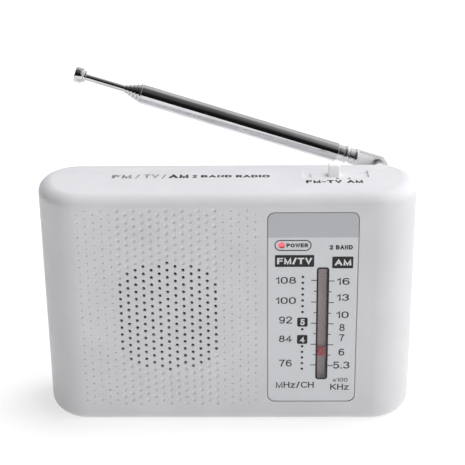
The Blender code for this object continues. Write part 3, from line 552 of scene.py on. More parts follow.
def grille_places():
    """Every place of the grille's lattice, as (column, row, x, z)."""
    places = []
    for column in range(-LAST_COLUMN, LAST_COLUMN + 1):
        for row in range(BOTTOM_ROW, TOP_ROW + 1):
            if (row + column) % 2 == 1:
                x = GRILLE_X + column * GRILLE_PITCH
                z = GRILLE_Z + row * GRILLE_PITCH / 2
                places.append((column, row, x, z))
    return places


def is_open(column, row):
    """True where the grille's hole goes right through."""
    column = abs(column)
    return column < len(OPEN_HALF_HEIGHTS) and abs(row) <= OPEN_HALF_HEIGHTS[column]


def open_hole_profile():
    """Through hole with a softly rounded mouth."""
    widest = OPEN_HOLE_R + MOUTH
    points = [(widest, FRONT_Y - 1.0), (widest, FRONT_Y - 0.01)]
    points += [(widest - MOUTH * sine, FRONT_Y + MOUTH * (1 - cosine)) for sine, cosine in quarter(3, 1)]
    return points + [(OPEN_HOLE_R, FRONT_Y + GRILLE_WALL + 0.6)]


def dimple_profile(radius, depth):
    """Shallow blind dimple with a rounded mouth and a round floor."""
    points = [(radius, FRONT_Y - 1.0), (radius, FRONT_Y - 0.005)]
    for share, sink in ((0.86, 0.16), (0.68, 0.52), (0.45, 0.84)):
        points.append((radius * share, FRONT_Y + depth * sink))
    return points + [(0.0, FRONT_Y + depth)]


def front_depth(x):
    """How far the front has curved back from its flat at a place across it."""
    past = abs(x) - (CASE_WIDTH / 2 - FRONT_CORNER)
    if past <= 0.0:
        return 0.0
    return (WIDEST_Y - FRONT_Y) * (1 - sqrt(1 - (past / FRONT_CORNER) ** 2))


def cut_grille(shell):
    """Cut the open holes and the blind dimples in the front."""
    holes = bmesh.new()
    dimples = bmesh.new()
    for column, row, x, z in grille_places():
        if is_open(column, row):
            add_turned(holes, open_hole_profile(), segments=16, centre=(x, 0.0, z))
            continue
        middle = abs(column) < len(OPEN_HALF_HEIGHTS)
        profile = dimple_profile(*(WIDE_DIMPLE if middle else SMALL_DIMPLE))
        add_turned(dimples, profile, segments=16 if middle else 12, centre=(x, front_depth(x), z))
    boolean(shell, finish(holes, "holes", WHITE), "DIFFERENCE")
    boolean(shell, finish(dimples, "dimples", WHITE), "DIFFERENCE")


def cut_channel(shell):
    """Channel that the pointer's head runs in, its slit for the web, and the lamp's hole."""
    left = SLOT_X - SLOT_WIDTH / 2
    low = (left - 1.0, FRONT_Y + 1.0, SLOT_BOTTOM - 1.0)
    attach(shell, add_box, low, (CHANNEL_RIGHT + 1.0, CHANNEL_BACK_Y, SLOT_TOP + 1.0))
    channel = rounded(left, CHANNEL_RIGHT, SLOT_BOTTOM, SLOT_TOP, 0.5)
    # The channel, the lamp's hole and the slit get the painted shade.
    carve(shell, add_prism, channel, FRONT_Y - 1.0, CHANNEL_FLOOR_Y, paint=CHANNEL_PAINTED_SHADE)
    hole = ((LAMP_HOLE_R, FRONT_Y - 1.0), (LAMP_HOLE_R, FRONT_Y + WALL + 1.0))
    carve(shell, add_turned, hole, paint=CHANNEL_PAINTED_SHADE, centre=(LAMP.x, 0.0, LAMP.z))
    low = (CHANNEL_RIGHT - SLIT_WIDTH, FRONT_Y, SLOT_BOTTOM + 0.5)
    carve(shell, add_box, low, (CHANNEL_RIGHT, FRONT_Y + WALL + 2.0, SLOT_TOP - 0.5), paint=CHANNEL_PAINTED_SHADE)


def front_case():
    """Front half of the case."""
    shell = half_case("front_case", FRONT_Y - OUTSIDE, SEAM_Y - SEAM_GAP / 2)
    sides = (PLATE_LOW.x - PLATE_FIT, PLATE_HIGH.x + PLATE_FIT, PLATE_LOW.z - PLATE_FIT, PLATE_HIGH.z + PLATE_FIT)
    recess = rounded(*sides, PLATE_CORNER)
    carve(shell, add_prism, recess, FRONT_Y - 1.0, FRONT_Y + PLATE_RECESS)
    pocket = ((GRILLE_POCKET_R, FRONT_Y + GRILLE_WALL), (GRILLE_POCKET_R, FRONT_Y + WALL + 0.2))
    carve(shell, add_turned, pocket, segments=48, centre=(GRILLE_X, 0.0, GRILLE_Z))
    cut_channel(shell)
    cut_grille(shell)
    cut_trough(shell)
    settle_shading(shell)
    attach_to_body(shell, "radio")
    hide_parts("front_shell")


def cut_trough(shell):
    """Shallow trough round the band switch, with a slot for the knob's stem."""
    lip = 0.35
    levels = [(lip, CASE_HEIGHT + 1.0)]
    levels += [(lip * (1 - sine), CASE_HEIGHT - lip * (1 - cosine)) for sine, cosine in quarter(4)]
    levels.append((0.0, TROUGH_FLOOR))
    rings = []
    for out, z in levels:
        x0 = TROUGH_LEFT - out
        x1 = TROUGH_RIGHT + out
        y0 = KNOB_Y - TROUGH_HALF - out
        y1 = SEAM_Y + 1.0
        rings.append([(x0, y0, z), (x1, y0, z), (x1, y1, z), (x0, y1, z)])
    carve(shell, add_loft, rings)
    half_x = STEM_HALF_X + STEM_ROOM
    half_y = STEM_HALF_Y + STEM_ROOM
    low = (KNOB_X - half_x, KNOB_Y - half_y, CASE_HEIGHT - WALL - 1.0)
    carve(shell, add_box, low, (KNOB_X + KNOB_TRAVEL + half_x, KNOB_Y + half_y, CASE_HEIGHT))


front_case()

# ---- Antenna


ANTENNA_PLACE = Matrix.Translation((PIVOT_X, PIVOT_Y, PIVOT_Z)) @ Matrix.Rotation(ANTENNA_RISE, 4, "Y")


def antenna_piece(name, profile, body, node, segments=48, ring=False):
    """A turned chrome piece on the antenna's own axis, its profile measured from the pivot."""
    bm = bmesh.new()
    add_turned(bm, [(radius, -along) for radius, along in profile], "X", segments, ring)
    piece = finish(bm, name, CHROME, 30.0, ANTENNA_PLACE)
    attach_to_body(piece, body)
    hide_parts(node)


def antenna_sections():
    """The five nested tubes, each with a groove and a rolled mouth."""
    for number, outer in enumerate(TUBE_RADII, 1):
        inner = outer - TUBE_WALL
        groove = outer - 0.13
        start = TUBE_START if number == 1 else PLUG_END + 1.2 * number
        end = TUBE_END + TUBE_STEP * (number - 1)
        profile = [(inner, start), (outer, start), (outer, end - 0.95)]
        profile += [(groove, end - 0.85), (groove, end - 0.7), (outer, end - 0.55)]
        profile += [(outer - 0.3 * (1 - cosine), end - 0.55 + 0.5 * sine) for sine, cosine in quarter(5, 1)]
        profile += [(inner - 0.08, end - 0.05), (inner - 0.08, end - 0.6), (inner, end - 0.6)]
        body = "antenna_base" if number == 1 else f"antenna_section_{number}"
        antenna_piece(f"chrome_tube_{number}", profile, body, f"antenna_tube_{number}", ring=True)


antenna_sections()

# ---- Dial plate


def dial_plate():
    """Silver plate with a softly rounded rim, the pointer slot and the lamp hole."""
    rim = 0.25
    levels = [(rim * (1 - sine), PLATE_FACE_Y + rim * (1 - cosine)) for sine, cosine in quarter(5)]
    levels.append((0.0, PLATE_HIGH.y))
    plate = form("dial_plate_fine", SILVER, add_slab, PLATE_LOW, PLATE_HIGH, levels, PLATE_CORNER, 1.0)
    half = SLOT_WIDTH / 2 - 0.1
    slot = rounded(SLOT_X - half, SLOT_X + half, SLOT_BOTTOM + 0.1, SLOT_TOP - 0.1, 0.5)
    carve(plate, add_prism, slot, FRONT_Y - 1.0, FRONT_Y + 1.0)
    hole = ((LAMP_WINDOW_R, FRONT_Y - 1.0), (LAMP_WINDOW_R, FRONT_Y + 1.0))
    carve(plate, add_turned, hole, segments=32, centre=(LAMP.x, 0.0, LAMP.z))
    settle_shading(plate)
    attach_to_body(plate, "radio")
    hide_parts("dial_plate")


dial_plate()

# ---- Printing

INK_THICK = 0.02
PEN = 0.16
BOLD_PEN = 0.26
HEAVY_PEN = 0.31
LETTER_GAP = 0.12
STROKE_LEVEL = 0.0004
FM_X = 17.55
AM_X = 34.7
NUMBER_HALF = 1.2
TICK_HALF = 0.13
CHANNEL_X = 22.65
CHANNEL_ZS = (34.06, 28.19)
TALL_ROW = (0.2, 4.1)
LOW_ROW = (0.8, 3.4)
SWITCH_ROW = (-4.6, -1.5)


def arc(x, y, across, up, start, end, steps=12):
    """Points of an elliptical arc, from one angle to another in degrees."""
    turns = [radians(start + (end - start) * i / steps) for i in range(steps + 1)]
    return [(x + across * cos(turn), y + up * sin(turn)) for turn in turns]


def ellipse(x, y, across, up, steps=24):
    """Closed line round an ellipse."""
    return arc(x, y, across, up, 0, 360, steps)


# Middle lines of the pen strokes of each character, for capitals one unit high.
STEM = [(0, 0), (0, 1)]
GLYPHS = {
    "0": [arc(0.28, 0.66, 0.28, 0.34, 0, 180) + arc(0.28, 0.34, 0.28, 0.34, 180, 360) + [(0.56, 0.66)]],
    "1": [[(0.04, 0.76), (0.2, 0.84), (0.27, 1), (0.27, 0)]],
    "2": [arc(0.28, 0.72, 0.27, 0.28, 170, -35) + [(0.02, 0.06), (0.02, 0), (0.56, 0)]],
    "3": [arc(0.27, 0.76, 0.24, 0.24, 160, -90) + arc(0.27, 0.26, 0.28, 0.26, 90, -160)],
    "4": [[(0.42, 0), (0.42, 1), (0, 0.28), (0.6, 0.28)]],
    "5": [[(0.5, 1), (0.1, 1), (0.05, 0.48)] + arc(0.27, 0.32, 0.28, 0.32, 135, -150)],
    "6": [arc(0.31, 0.62, 0.30, 0.38, 50, 180) + [(0.01, 0.33)], ellipse(0.28, 0.31, 0.27, 0.31)],
    "7": [[(0, 1), (0.55, 1), (0.34, 0.58), (0.2, 0)]],
    "8": [ellipse(0.28, 0.76, 0.23, 0.24), ellipse(0.28, 0.27, 0.28, 0.27)],
    "9": [arc(0.25, 0.38, 0.30, 0.38, -130, 0) + [(0.55, 0.67)], ellipse(0.28, 0.69, 0.27, 0.31)],
    "A": [[(0, 0), (0.34, 1), (0.68, 0)], [(0.13, 0.33), (0.55, 0.33)]],
    "B": [
        STEM + [(0.3, 1)] + arc(0.3, 0.77, 0.22, 0.23, 90, -90) + [(0, 0.54)],
        [(0.3, 0.54)] + arc(0.31, 0.27, 0.26, 0.27, 90, -90) + [(0, 0)],
    ],
    "C": [arc(0.36, 0.5, 0.36, 0.5, 45, 315, 18)],
    "D": [STEM + [(0.24, 1)] + arc(0.24, 0.5, 0.38, 0.5, 90, -90) + [(0, 0)]],
    "E": [[(0.52, 1), (0, 1), (0, 0), (0.54, 0)], [(0, 0.53), (0.48, 0.53)]],
    "F": [[(0.52, 1), (0, 1), (0, 0)], [(0, 0.51), (0.45, 0.51)]],
    "H": [STEM, [(0.58, 0), (0.58, 1)], [(0, 0.52), (0.58, 0.52)]],
    "I": [STEM],
    "K": [STEM, [(0.56, 1), (0, 0.36)], [(0.2, 0.58), (0.6, 0)]],
    "M": [STEM + [(0.35, 0), (0.7, 1), (0.7, 0)]],
    "N": [STEM + [(0.56, 0), (0.56, 1)]],
    "O": [ellipse(0.38, 0.5, 0.38, 0.5)],
    "P": [STEM + [(0.3, 1)] + arc(0.3, 0.73, 0.25, 0.27, 90, -90) + [(0, 0.46)]],
    "R": [
        STEM + [(0.3, 1)] + arc(0.3, 0.74, 0.24, 0.26, 90, -90) + [(0, 0.48)],
        [(0.32, 0.48), (0.56, 0)],
    ],
    "T": [[(0, 1), (0.6, 1)], [(0.3, 1), (0.3, 0)]],
    "V": [[(0, 1), (0.32, 0), (0.64, 1)]],
    "W": [[(0, 1), (0.22, 0), (0.44, 1), (0.66, 0), (0.88, 1)]],
    "x": [[(0, 0), (0.42, 0.62)], [(0, 0.62), (0.42, 0)]],
    "z": [[(0, 0.68), (0.42, 0.68), (0, 0), (0.44, 0)]],
    "/": [[(0, -0.04), (0.3, 1.04)]],
    "-": [[(0, 0.42), (0.3, 0.42)]],
    ".": [[(0, 0), (0, 0.02)]],
    " ": [],
}


def stroke_sides(line, half):
    """Left and right edge points of a pen stroke with square ends."""
    points = [Vector(point) for point in line]
    closed = (points[0] - points[-1]).length < 1e-6
    if closed:
        points.pop()
    else:
        points[0] = points[0] + (points[0] - points[1]).normalized() * half
        points[-1] = points[-1] + (points[-1] - points[-2]).normalized() * half
    sides = []
    count = len(points)
    for i, point in enumerate(points):
        before = points[i - 1] if i or closed else point
        after = points[(i + 1) % count] if closed or i + 1 < count else point
        steps = [step.normalized() for step in (point - before, after - point) if step.length > 1e-9]
        along = sum(steps, Vector((0.0, 0.0))).normalized()
        normal = Vector((-along.y, along.x))
        reach = half / max(0.45, normal.dot(Vector((-steps[0].y, steps[0].x))))
        sides.append((point + normal * reach, point - normal * reach))
    if closed:
        sides.append(sides[0])
    return sides


def word_strokes(words, pen):
    """Stroke edges of a line of characters, set from the left."""
    strokes = []
    x = 0.0
    for character in words:
        lines = GLYPHS[character]
        width = max((point[0] for line in lines for point in line), default=0.1)
        for line in lines:
            strokes.append(stroke_sides([(x + px, py) for px, py in line], pen / 2))
        x += width + LETTER_GAP + pen
    return strokes


def add_words(bm, words, left, right, low, high, pen=PEN):
    """Add words stretched to fill a box of the print's plane."""
    strokes = word_strokes(words, pen)
    points = [point for stroke in strokes for pair in stroke for point in pair]
    x0 = min(point.x for point in points)
    y0 = min(point.y for point in points)
    grow_x = (right - left) / (max(point.x for point in points) - x0)
    grow_y = (high - low) / (max(point.y for point in points) - y0)
    for level, stroke in enumerate(strokes):
        up = STROKE_LEVEL * level
        rows = []
        for pair in stroke:
            flat = [(left + (point.x - x0) * grow_x, low + (point.y - y0) * grow_y, up) for point in pair]
            rows.append([bm.verts.new(point) for point in flat])
        for first, second in zip(rows, rows[1:]):
            bm.faces.new((first[1], second[1], second[0], first[0]))


def add_patch(bm, outline):
    """Add a flat printed patch from its outline."""
    bm.faces.new([bm.verts.new((x, y, 0.0)) for x, y in outline])


def add_frame(bm, left, right, low, high, radius, line, inner_radius):
    """Add a flat printed line round a rectangle with round corners."""
    outer = rounded(left, right, low, high, radius)
    inner = rounded(left + line, right - line, low + line, high - line, inner_radius)
    loops = [[bm.verts.new((x, y, 0.0)) for x, y in outline] for outline in (outer, inner)]
    count = len(outer)
    for i in range(count):
        j = (i + 1) % count
        bm.faces.new((loops[0][i], loops[0][j], loops[1][j], loops[1][i]))


def print_piece(name, bm, paint, place):
    """Give a print its thickness and put it in its place on the radio."""
    raised = bmesh.ops.extrude_face_region(bm, geom=list(bm.faces))
    moved = [item for item in raised["geom"] if isinstance(item, bmesh.types.BMVert)]
    bmesh.ops.translate(bm, verts=moved, vec=(0.0, 0.0, INK_THICK))
    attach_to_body(finish(bm, name, paint, 20.0, place), "radio")


def scale_numbers(bm):
    """The two rows of frequencies and their units, each as (words, middle height, width)."""
    fm = (("108", 48.1, 6.2), ("100", 41.4, 6.2), ("92", 34.8, 3.95), ("84", 28.5, 3.95), ("76", 20.0, 3.95))
    am = (
        ("16", 47.7, 3.9), ("13", 42.4, 3.8), ("10", 36.6, 3.8), ("8", 32.2, 1.65), ("7", 28.7, 1.65),
        ("6", 23.8, 1.75), ("5.3", 19.3, 5.2),
    )
    for middle, rows in ((FM_X, fm), (AM_X, am)):
        for words, z, width in rows:
            add_words(bm, words, middle - width / 2, middle + width / 2, z - NUMBER_HALF, z + NUMBER_HALF)
    add_words(bm, "MHz/CH", 14.65, 26.4, 11.2, 13.7)
    add_words(bm, "x100", 32.2, 36.8, 13.5, 14.95)
    add_words(bm, "KHz", 31.4, 37.3, 10.6, 12.8)


def scale_ticks(bm):
    """Long and short strokes in turn on both sides of the slot."""
    half = SLOT_WIDTH / 2
    for i in range(9):
        length = 0.9 if i % 2 else 1.7
        for left, right, top in (
            (SLOT_X - half - length, SLOT_X - half, 47.95),
            (SLOT_X + half, SLOT_X + half + length, 47.75),
        ):
            low = top - 3.57 * i - TICK_HALF
            high = top - 3.57 * i + TICK_HALF
            add_patch(bm, [(left, low), (right, low), (right, high), (left, high)])


def channel_marks(bm):
    """Row of dots beside the FM scale, with two channel numbers in it."""
    for i in range(17):
        z = 49.12 - 1.94 * i
        if all(abs(z - middle) > 1.7 for middle in CHANNEL_ZS):
            add_patch(bm, ellipse(CHANNEL_X, z, 0.40, 0.40, 20)[:-1])
    for z in CHANNEL_ZS:
        add_patch(bm, rounded(CHANNEL_X - 1.58, CHANNEL_X + 1.58, z - 1.52, z + 1.52, 0.45))


def dial_print():
    """Everything printed on the dial plate."""
    place = Matrix.Translation((0.0, PLATE_FACE_Y, 0.0)) @ Matrix.Rotation(pi / 2, 4, "X")
    dark = bmesh.new()
    scale_numbers(dark)
    print_piece("dial_numbers", dark, GREY_INK, place)
    marks = bmesh.new()
    scale_ticks(marks)
    channel_marks(marks)
    add_patch(marks, rounded(14.3, 25.95, 52.4, 56.25, 0.25))
    add_patch(marks, rounded(31.3, 37.55, 51.9, 55.7, 0.25))
    add_frame(marks, 14.15, 25.1, 57.6, 61.1, 1.74, 0.3, 1.44)
    half = SLOT_WIDTH / 2 + 0.12
    add_frame(marks, SLOT_X - half, SLOT_X + half, SLOT_BOTTOM - 0.12, SLOT_TOP + 0.12, 0.9, 0.5, 0.42)
    add_words(marks, "POWER", 17.7, 24.15, 58.55, 60.15, HEAVY_PEN)
    add_words(marks, "2 BAND", 30.4, 37.3, 57.8, 59.6, HEAVY_PEN)
    print_piece("dial_marks", marks, INK, place)
    light = bmesh.new()
    add_words(light, "FM/TV", 14.95, 25.4, 53.05, 55.6, BOLD_PEN)
    add_words(light, "AM", 31.95, 37.0, 52.6, 55.0, BOLD_PEN)
    add_words(light, "5", 21.9, 23.4, 33.05, 35.1, BOLD_PEN)
    add_words(light, "4", 21.85, 23.45, 27.2, 29.2, BOLD_PEN)
    over = Matrix.Translation((0.0, -INK_THICK, 0.0)) @ place
    print_piece("dial_reversed_letters", light, WHITE_INK, over)


def top_print():
    """Legend on the top of the case, its first words half worn away."""
    place = Matrix.Translation((0.0, 0.0, CASE_HEIGHT))
    worn = bmesh.new()
    for words, left, right, pen in (
        ("FM", -35.0, -28.9, HEAVY_PEN), ("/", -27.9, -26.4, PEN), ("TV", -25.4, -20.6, BOLD_PEN),
        ("/", -19.9, -18.4, PEN),
    ):
        add_words(worn, words, left, right, *TALL_ROW, pen)
    print_piece("top_worn_legend", worn, WORN_INK, place)
    dark = bmesh.new()
    for words, left, right, row, pen in (
        ("AM", -17.8, -11.6, TALL_ROW, HEAVY_PEN), ("2", -10.5, -9.1, LOW_ROW, BOLD_PEN),
        ("BAND", -7.9, 1.5, LOW_ROW, HEAVY_PEN), ("RADIO", 2.7, 13.0, LOW_ROW, HEAVY_PEN),
        ("FM-TV", 23.75, 34.6, SWITCH_ROW, HEAVY_PEN), ("AM", 35.9, 40.8, SWITCH_ROW, HEAVY_PEN),
    ):
        add_words(dark, words, left, right, *row, pen)
    for x in (33.3, 36.8):
        add_patch(dark, [(x - 0.6, -0.6), (x + 0.6, -0.6), (x, 0.3)])
    print_piece("top_legend", dark, INK, place)


dial_print()
top_print()


def window():
    """Smoky strip in the dial's slot, with softly rounded edges."""
    front = WINDOW_LOW.y + WINDOW_SINK
    levels = ((0.12, front), (0.03, front + 0.05), (0.0, front + 0.14), (0.0, WINDOW_HIGH.y + WINDOW_SINK))
    strip = form("smoke_window", SMOKE, add_slab, WINDOW_LOW, WINDOW_HIGH, levels, 0.45)
    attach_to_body(strip, "radio")
    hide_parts("dial_window")


def lamp():
    """Small round lamp behind the plate, with its flange and legs."""
    low, high = box_mm("power_led")
    radius = 1.5
    flange = radius + 0.3
    dome = 1.7
    front = -10.6
    back = -9.8
    profile = [(0.0, low.y)]
    profile += [(radius * sine, low.y + dome * (1 - cosine)) for sine, cosine in quarter(8, 1)]
    profile += [(radius, front), (flange, front), (flange, back), (0.0, back)]
    bm = bmesh.new()
    add_turned(bm, profile, segments=32)
    for x in (-1.27, 1.27):
        add_box(bm, (x - 0.25, back, -0.25), (x + 0.25, high.y, 0.25))
    piece = finish(bm, "lamp", LAMP_RED, place=Matrix.Translation((LAMP.x, 0.0, LAMP.z)))
    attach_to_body(piece, "radio")
    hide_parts("power_led")


window()
lamp()

# ---- Rest of the antenna


def antenna_base():
    """Ringed base end of the antenna with its flat-milled tongue."""
    bore = TUBE_RADII[0] - TUBE_WALL - 0.1
    mouth = TUBE_START - 0.3
    profile = (
        (0.0, 7.0), (2.6, 7.0), (2.9, 7.2), (2.95, 7.4), (2.95, 8.0), (2.85, 8.2), (2.7, 8.3), (2.7, 9.7),
        (2.6, 9.85), (2.25, 9.95), (2.25, 10.45), (2.8, 10.55), (2.95, 10.7), (2.95, 11.3), (2.85, 11.5),
        (2.7, 11.6), (2.7, mouth - 0.2), (2.6, mouth), (bore, mouth), (bore, PLUG_END), (0.0, PLUG_END),
    )
    backwards = [(radius, -along) for radius, along in profile]
    base = form("chrome_base", SATIN, add_turned, backwards, "X", 48, place=ANTENNA_PLACE)
    edges = ((1.2, 0.2), (1.14, 0.06), (1.0, 0.0))
    rings = []
    for y, inset in [(-y, inset) for y, inset in edges] + list(reversed(edges)):
        reach = TONGUE_HALF - inset
        outline = [(TONGUE_START, -reach), (TONGUE_START, reach)]
        for i in range(17):
            angle = pi / 2 - pi * i / 16
            outline.append((0.4 + reach * cos(angle), reach * sin(angle)))
        rings.append([(x, y, z) for x, z in outline])
    attach(base, add_loft, rings, place=ANTENNA_PLACE)
    carve(base, add_turned, ((1.1, -3.0), (1.1, 3.0)), place=ANTENNA_PLACE)
    settle_shading(base)
    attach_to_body(base, "antenna_base")
    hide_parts("antenna_knuckle")


def antenna_end():
    """Thin rod and the tip that it is drawn out by."""
    start = TUBE_END + TUBE_STEP * (len(TUBE_RADII) - 1) + ROD_OUT
    end = start + TIP_LENGTH
    rod = ((0.0, ROD_START), (ROD_R, ROD_START), (ROD_R, start + 1.6), (0.0, start + 1.6))
    antenna_piece("chrome_rod", rod, "antenna_end", "antenna_rod", 32)
    bore = ROD_R + 0.05
    edge = 0.4
    tip = [(0.0, end - 0.12), (0.9, end - 0.12), (1.1, end)]
    tip += [(TIP_R - edge * (1 - sine), end - edge * (1 - cosine)) for sine, cosine in quarter(4)]
    tip += [
        (TIP_R, start + 1.1), (TIP_R - 0.08, start + 0.95), (1.85, start + 0.8), (1.8, start + 0.7),
        (1.8, start + 0.1), (1.7, start), (bore, start), (bore, start + 2.0), (0.0, start + 2.0),
    ]
    antenna_piece("chrome_tip", tip, "antenna_end", "antenna_tip", 40)


antenna_base()
antenna_end()

# ---- Rear of the case


def screw_places():
    """Middles of the three case screws, as (x, z)."""
    middles = [middle_mm(f"case_screw_{number}") for number in (1, 2, 3)]
    return [(middle.x, middle.z) for middle in middles]


def rear_case():
    """Rear half of the case, with the battery box and the openings for the wheels."""
    shell = half_case("rear_case", SEAM_Y + SEAM_GAP / 2, REAR_Y + OUTSIDE)
    inside = REAR_Y - 1.0
    low = (BAY_LEFT - BAY_WALL, BAY_FRONT_Y - BAY_WALL, BAY_BOTTOM - BAY_WALL)
    attach(shell, add_box, low, (BAY_RIGHT + BAY_WALL, inside, BAY_TOP + BAY_WALL))
    for x, z in screw_places():
        post = ((POST_R, SEAM_Y + 0.15), (POST_R, inside))
        attach(shell, add_turned, post, segments=32, centre=(x, 0.0, z))
    attach(shell, add_box, *PIVOT_BLOCK)
    pivot = (PIVOT_X, 0.0, PIVOT_Z)
    attach(shell, add_turned, ((1.8, 10.0), (1.8, REAR_Y), (1.7, REAR_Y + 0.1)), segments=40, centre=pivot)
    carve(shell, add_box, (BAY_LEFT, BAY_FRONT_Y, BAY_BOTTOM), (BAY_RIGHT, REAR_Y + 1.0, BAY_TOP))
    lip = 0.35
    well = [(1.3, SEAM_Y - 1.0), (1.3, WELL_FLOOR), (WELL_R, WELL_FLOOR), (WELL_R, REAR_Y - lip)]
    well += [(WELL_R + lip * (1 - cosine), REAR_Y - lip + (lip + 0.01) * sine) for sine, cosine in quarter(4, 1)]
    well.append((WELL_R + lip, REAR_Y + 1.0))
    for x, z in screw_places():
        carve(shell, add_turned, well, segments=32, centre=(x, 0.0, z))
    carve(shell, add_turned, ((1.05, 8.8), (1.05, REAR_Y + 2.0)), centre=pivot)
    for node, reach in (("tuning_wheel", 12.2), ("volume_wheel", 9.0)):
        z = middle_mm(node).z
        low = (WHEEL_SLOT_X[0], WHEEL_Y0 - 0.3, z - reach)
        carve(shell, add_box, low, (WHEEL_SLOT_X[1], WHEEL_Y1 + 0.3, z + reach))
    slope = ((SEAM_Y, TROUGH_FLOOR), (SEAM_Y + 2.2, CASE_HEIGHT + 0.05), (SEAM_Y, CASE_HEIGHT + 0.05))
    carve(shell, add_loft, [[(x, y, z) for y, z in slope] for x in (TROUGH_LEFT, TROUGH_RIGHT)])
    settle_shading(shell)
    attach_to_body(shell, "radio")
    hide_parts("rear_shell")


def battery_door():
    """Door with four finger grooves along its upper edge."""
    face = DOOR_HIGH.y
    levels = ((0.0, DOOR_LOW.y), (0.0, face - 0.25), (0.07, face - 0.07), (0.25, face))
    door = form("door", WHITE, add_slab, DOOR_LOW, DOOR_HIGH, levels, 0.5)
    middle = (DOOR_LOW.x + DOOR_HIGH.x) / 2
    for i in range(4):
        height = DOOR_HIGH.z - 3.0 - 1.6 * i
        turns = [pi * step / 6 for step in range(7)]
        groove = [(face + 0.05 - 0.5 * sin(turn), height + 0.45 * cos(turn)) for turn in turns]
        carve(door, add_loft, [[(x, y, z) for y, z in groove] for x in (middle - 6.0, middle + 6.0)])
    settle_shading(door)
    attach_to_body(door, "door")
    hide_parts("battery_door")


def switch_knob():
    """Finger knob of the band switch, ridged on top, with its stem and the plate over the slot."""
    edge = 0.5
    levels = [(0.25, TROUGH_FLOOR + 0.3), (0.05, TROUGH_FLOOR + 0.5), (0.0, TROUGH_FLOOR + 0.8)]
    levels += [(edge * (1 - cosine), KNOB_HIGH.z - edge * (1 - sine)) for sine, cosine in quarter(5)]
    rings = []
    for inset, z in levels:
        outline = rounded(-1.8 + inset, 1.8 - inset, -1.6 + inset, 1.6 - inset, 0.6 - inset * 0.5, 6)
        rings.append([(KNOB_X + x, KNOB_Y + y, z) for x, y in outline])
    # The knob and its stem carry the painted glow, which makes them lighter than the case.
    knob = form("switch_knob", KNOB_PAINTED_GLOW, add_loft, rings)
    for paint, half_x, half_y, low, high in (
        (KNOB_PAINTED_GLOW, STEM_HALF_X, STEM_HALF_Y, KNOB_LOW.z, CASE_HEIGHT),
        (WHITE, COVER_HALF_X, COVER_HALF_Y, TROUGH_FLOOR + 0.1, TROUGH_FLOOR + 0.45),
    ):
        corner = (KNOB_X + half_x, KNOB_Y + half_y, high)
        attach(knob, add_box, (KNOB_X - half_x, KNOB_Y - half_y, low), corner, paint=paint)
    for x in (-0.8, 0.0, 0.8):
        top = (KNOB_X + x, KNOB_Y, KNOB_HIGH.z + 0.06)
        carve(knob, add_turned, ((0.22, -3.0), (0.22, 3.0)), segments=12, centre=top)
    settle_shading(knob)
    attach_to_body(knob, "band_knob")
    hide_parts("band_switch_knob")


def thumbwheel(name, node, body, ribs):
    """Black wheel with a finely ribbed rim, a dished face and its bore."""
    low, high = box_mm(node)
    middle = (low + high) / 2
    centre = (middle.x, 0.0, middle.z)
    radius = (high.z - low.z) / 2
    edge = 0.3
    rings = []
    for y, inset in ((low.y, edge), (low.y + edge, 0.0), (high.y - edge, 0.0), (high.y, edge)):
        outline = []
        for i in range(ribs * 4):
            angle = tau * i / (ribs * 4)
            rim = radius - inset - (RIB_DEPTH if i % 4 in (2, 3) else 0.0)
            outline.append((middle.x + rim * cos(angle), y, middle.z + rim * sin(angle)))
        rings.append(outline)
    wheel = form(name, BLACK, add_loft, rings)
    carve(wheel, add_turned, ((1.65, low.y - 1.0), (1.65, high.y + 1.0)), segments=32, centre=centre)
    dish = high.y - 0.8
    over = high.y + 0.5
    profile = ((3.4, dish), (radius - 2.4, dish), (radius - 2.1, over), (3.2, over))
    carve(wheel, add_turned, profile, segments=48, ring=True, centre=centre)
    settle_shading(wheel)
    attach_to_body(wheel, body)
    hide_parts(node)


def battery_cell(number, direction):
    """AA cell in a two-colour sleeve with turned-in ends; its button points along direction on X."""
    low, high = box_mm(f"battery_cell_{number}")
    middle = (low + high) / 2
    radius = (high.z - low.z) / 2
    length = high.x - low.x
    bend = 0.7
    shoulder = 1.2
    cap = 5.6
    band = 13.0
    profile = [(0.0, 0.0), (2.35, 0.0), (2.6, 0.25), (2.6, shoulder + 0.2), (cap, shoulder + 0.2), (cap, shoulder)]
    profile += [(radius - bend * (1 - sine), shoulder + bend * (1 - cosine)) for sine, cosine in quarter(5)]
    profile += [(radius, band), (radius - 0.05, band + 0.1), (radius, band + 0.2)]
    profile += [(radius - bend * (1 - cosine), length - bend * (1 - sine)) for sine, cosine in quarter(5)]
    profile += [(cap, length), (cap - 0.2, length - 0.2), (5.1, length - 0.2), (4.9, length), (0.0, length)]
    centre = Vector((high.x if direction > 0 else low.x, middle.y, middle.z))
    bm = bmesh.new()
    add_turned(bm, [(distance, -direction * along) for distance, along in profile], "X", 64, centre=centre)
    for face in bm.faces:
        offset = face.calc_center_median() - centre
        if hypot(offset.y, offset.z) < cap:
            face.material_index = 2
        elif abs(offset.x) < band + 0.1:
            face.material_index = 1
    cell = finish(bm, f"sleeved_cell_{number}", CELL_SLEEVE, 40.0)
    cell.data.materials.append(CELL_BAND)
    cell.data.materials.append(STEEL)
    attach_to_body(cell, "radio")
    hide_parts(f"battery_cell_{number}")


rear_case()
battery_door()
switch_knob()
battery_cell(1, 1)
battery_cell(2, -1)
thumbwheel("tuning_thumbwheel", "tuning_wheel", "tuning_drive", 44)
thumbwheel("volume_thumbwheel", "volume_wheel", "volume_drive", 30)

# ---- Materials of the carried-over nodes

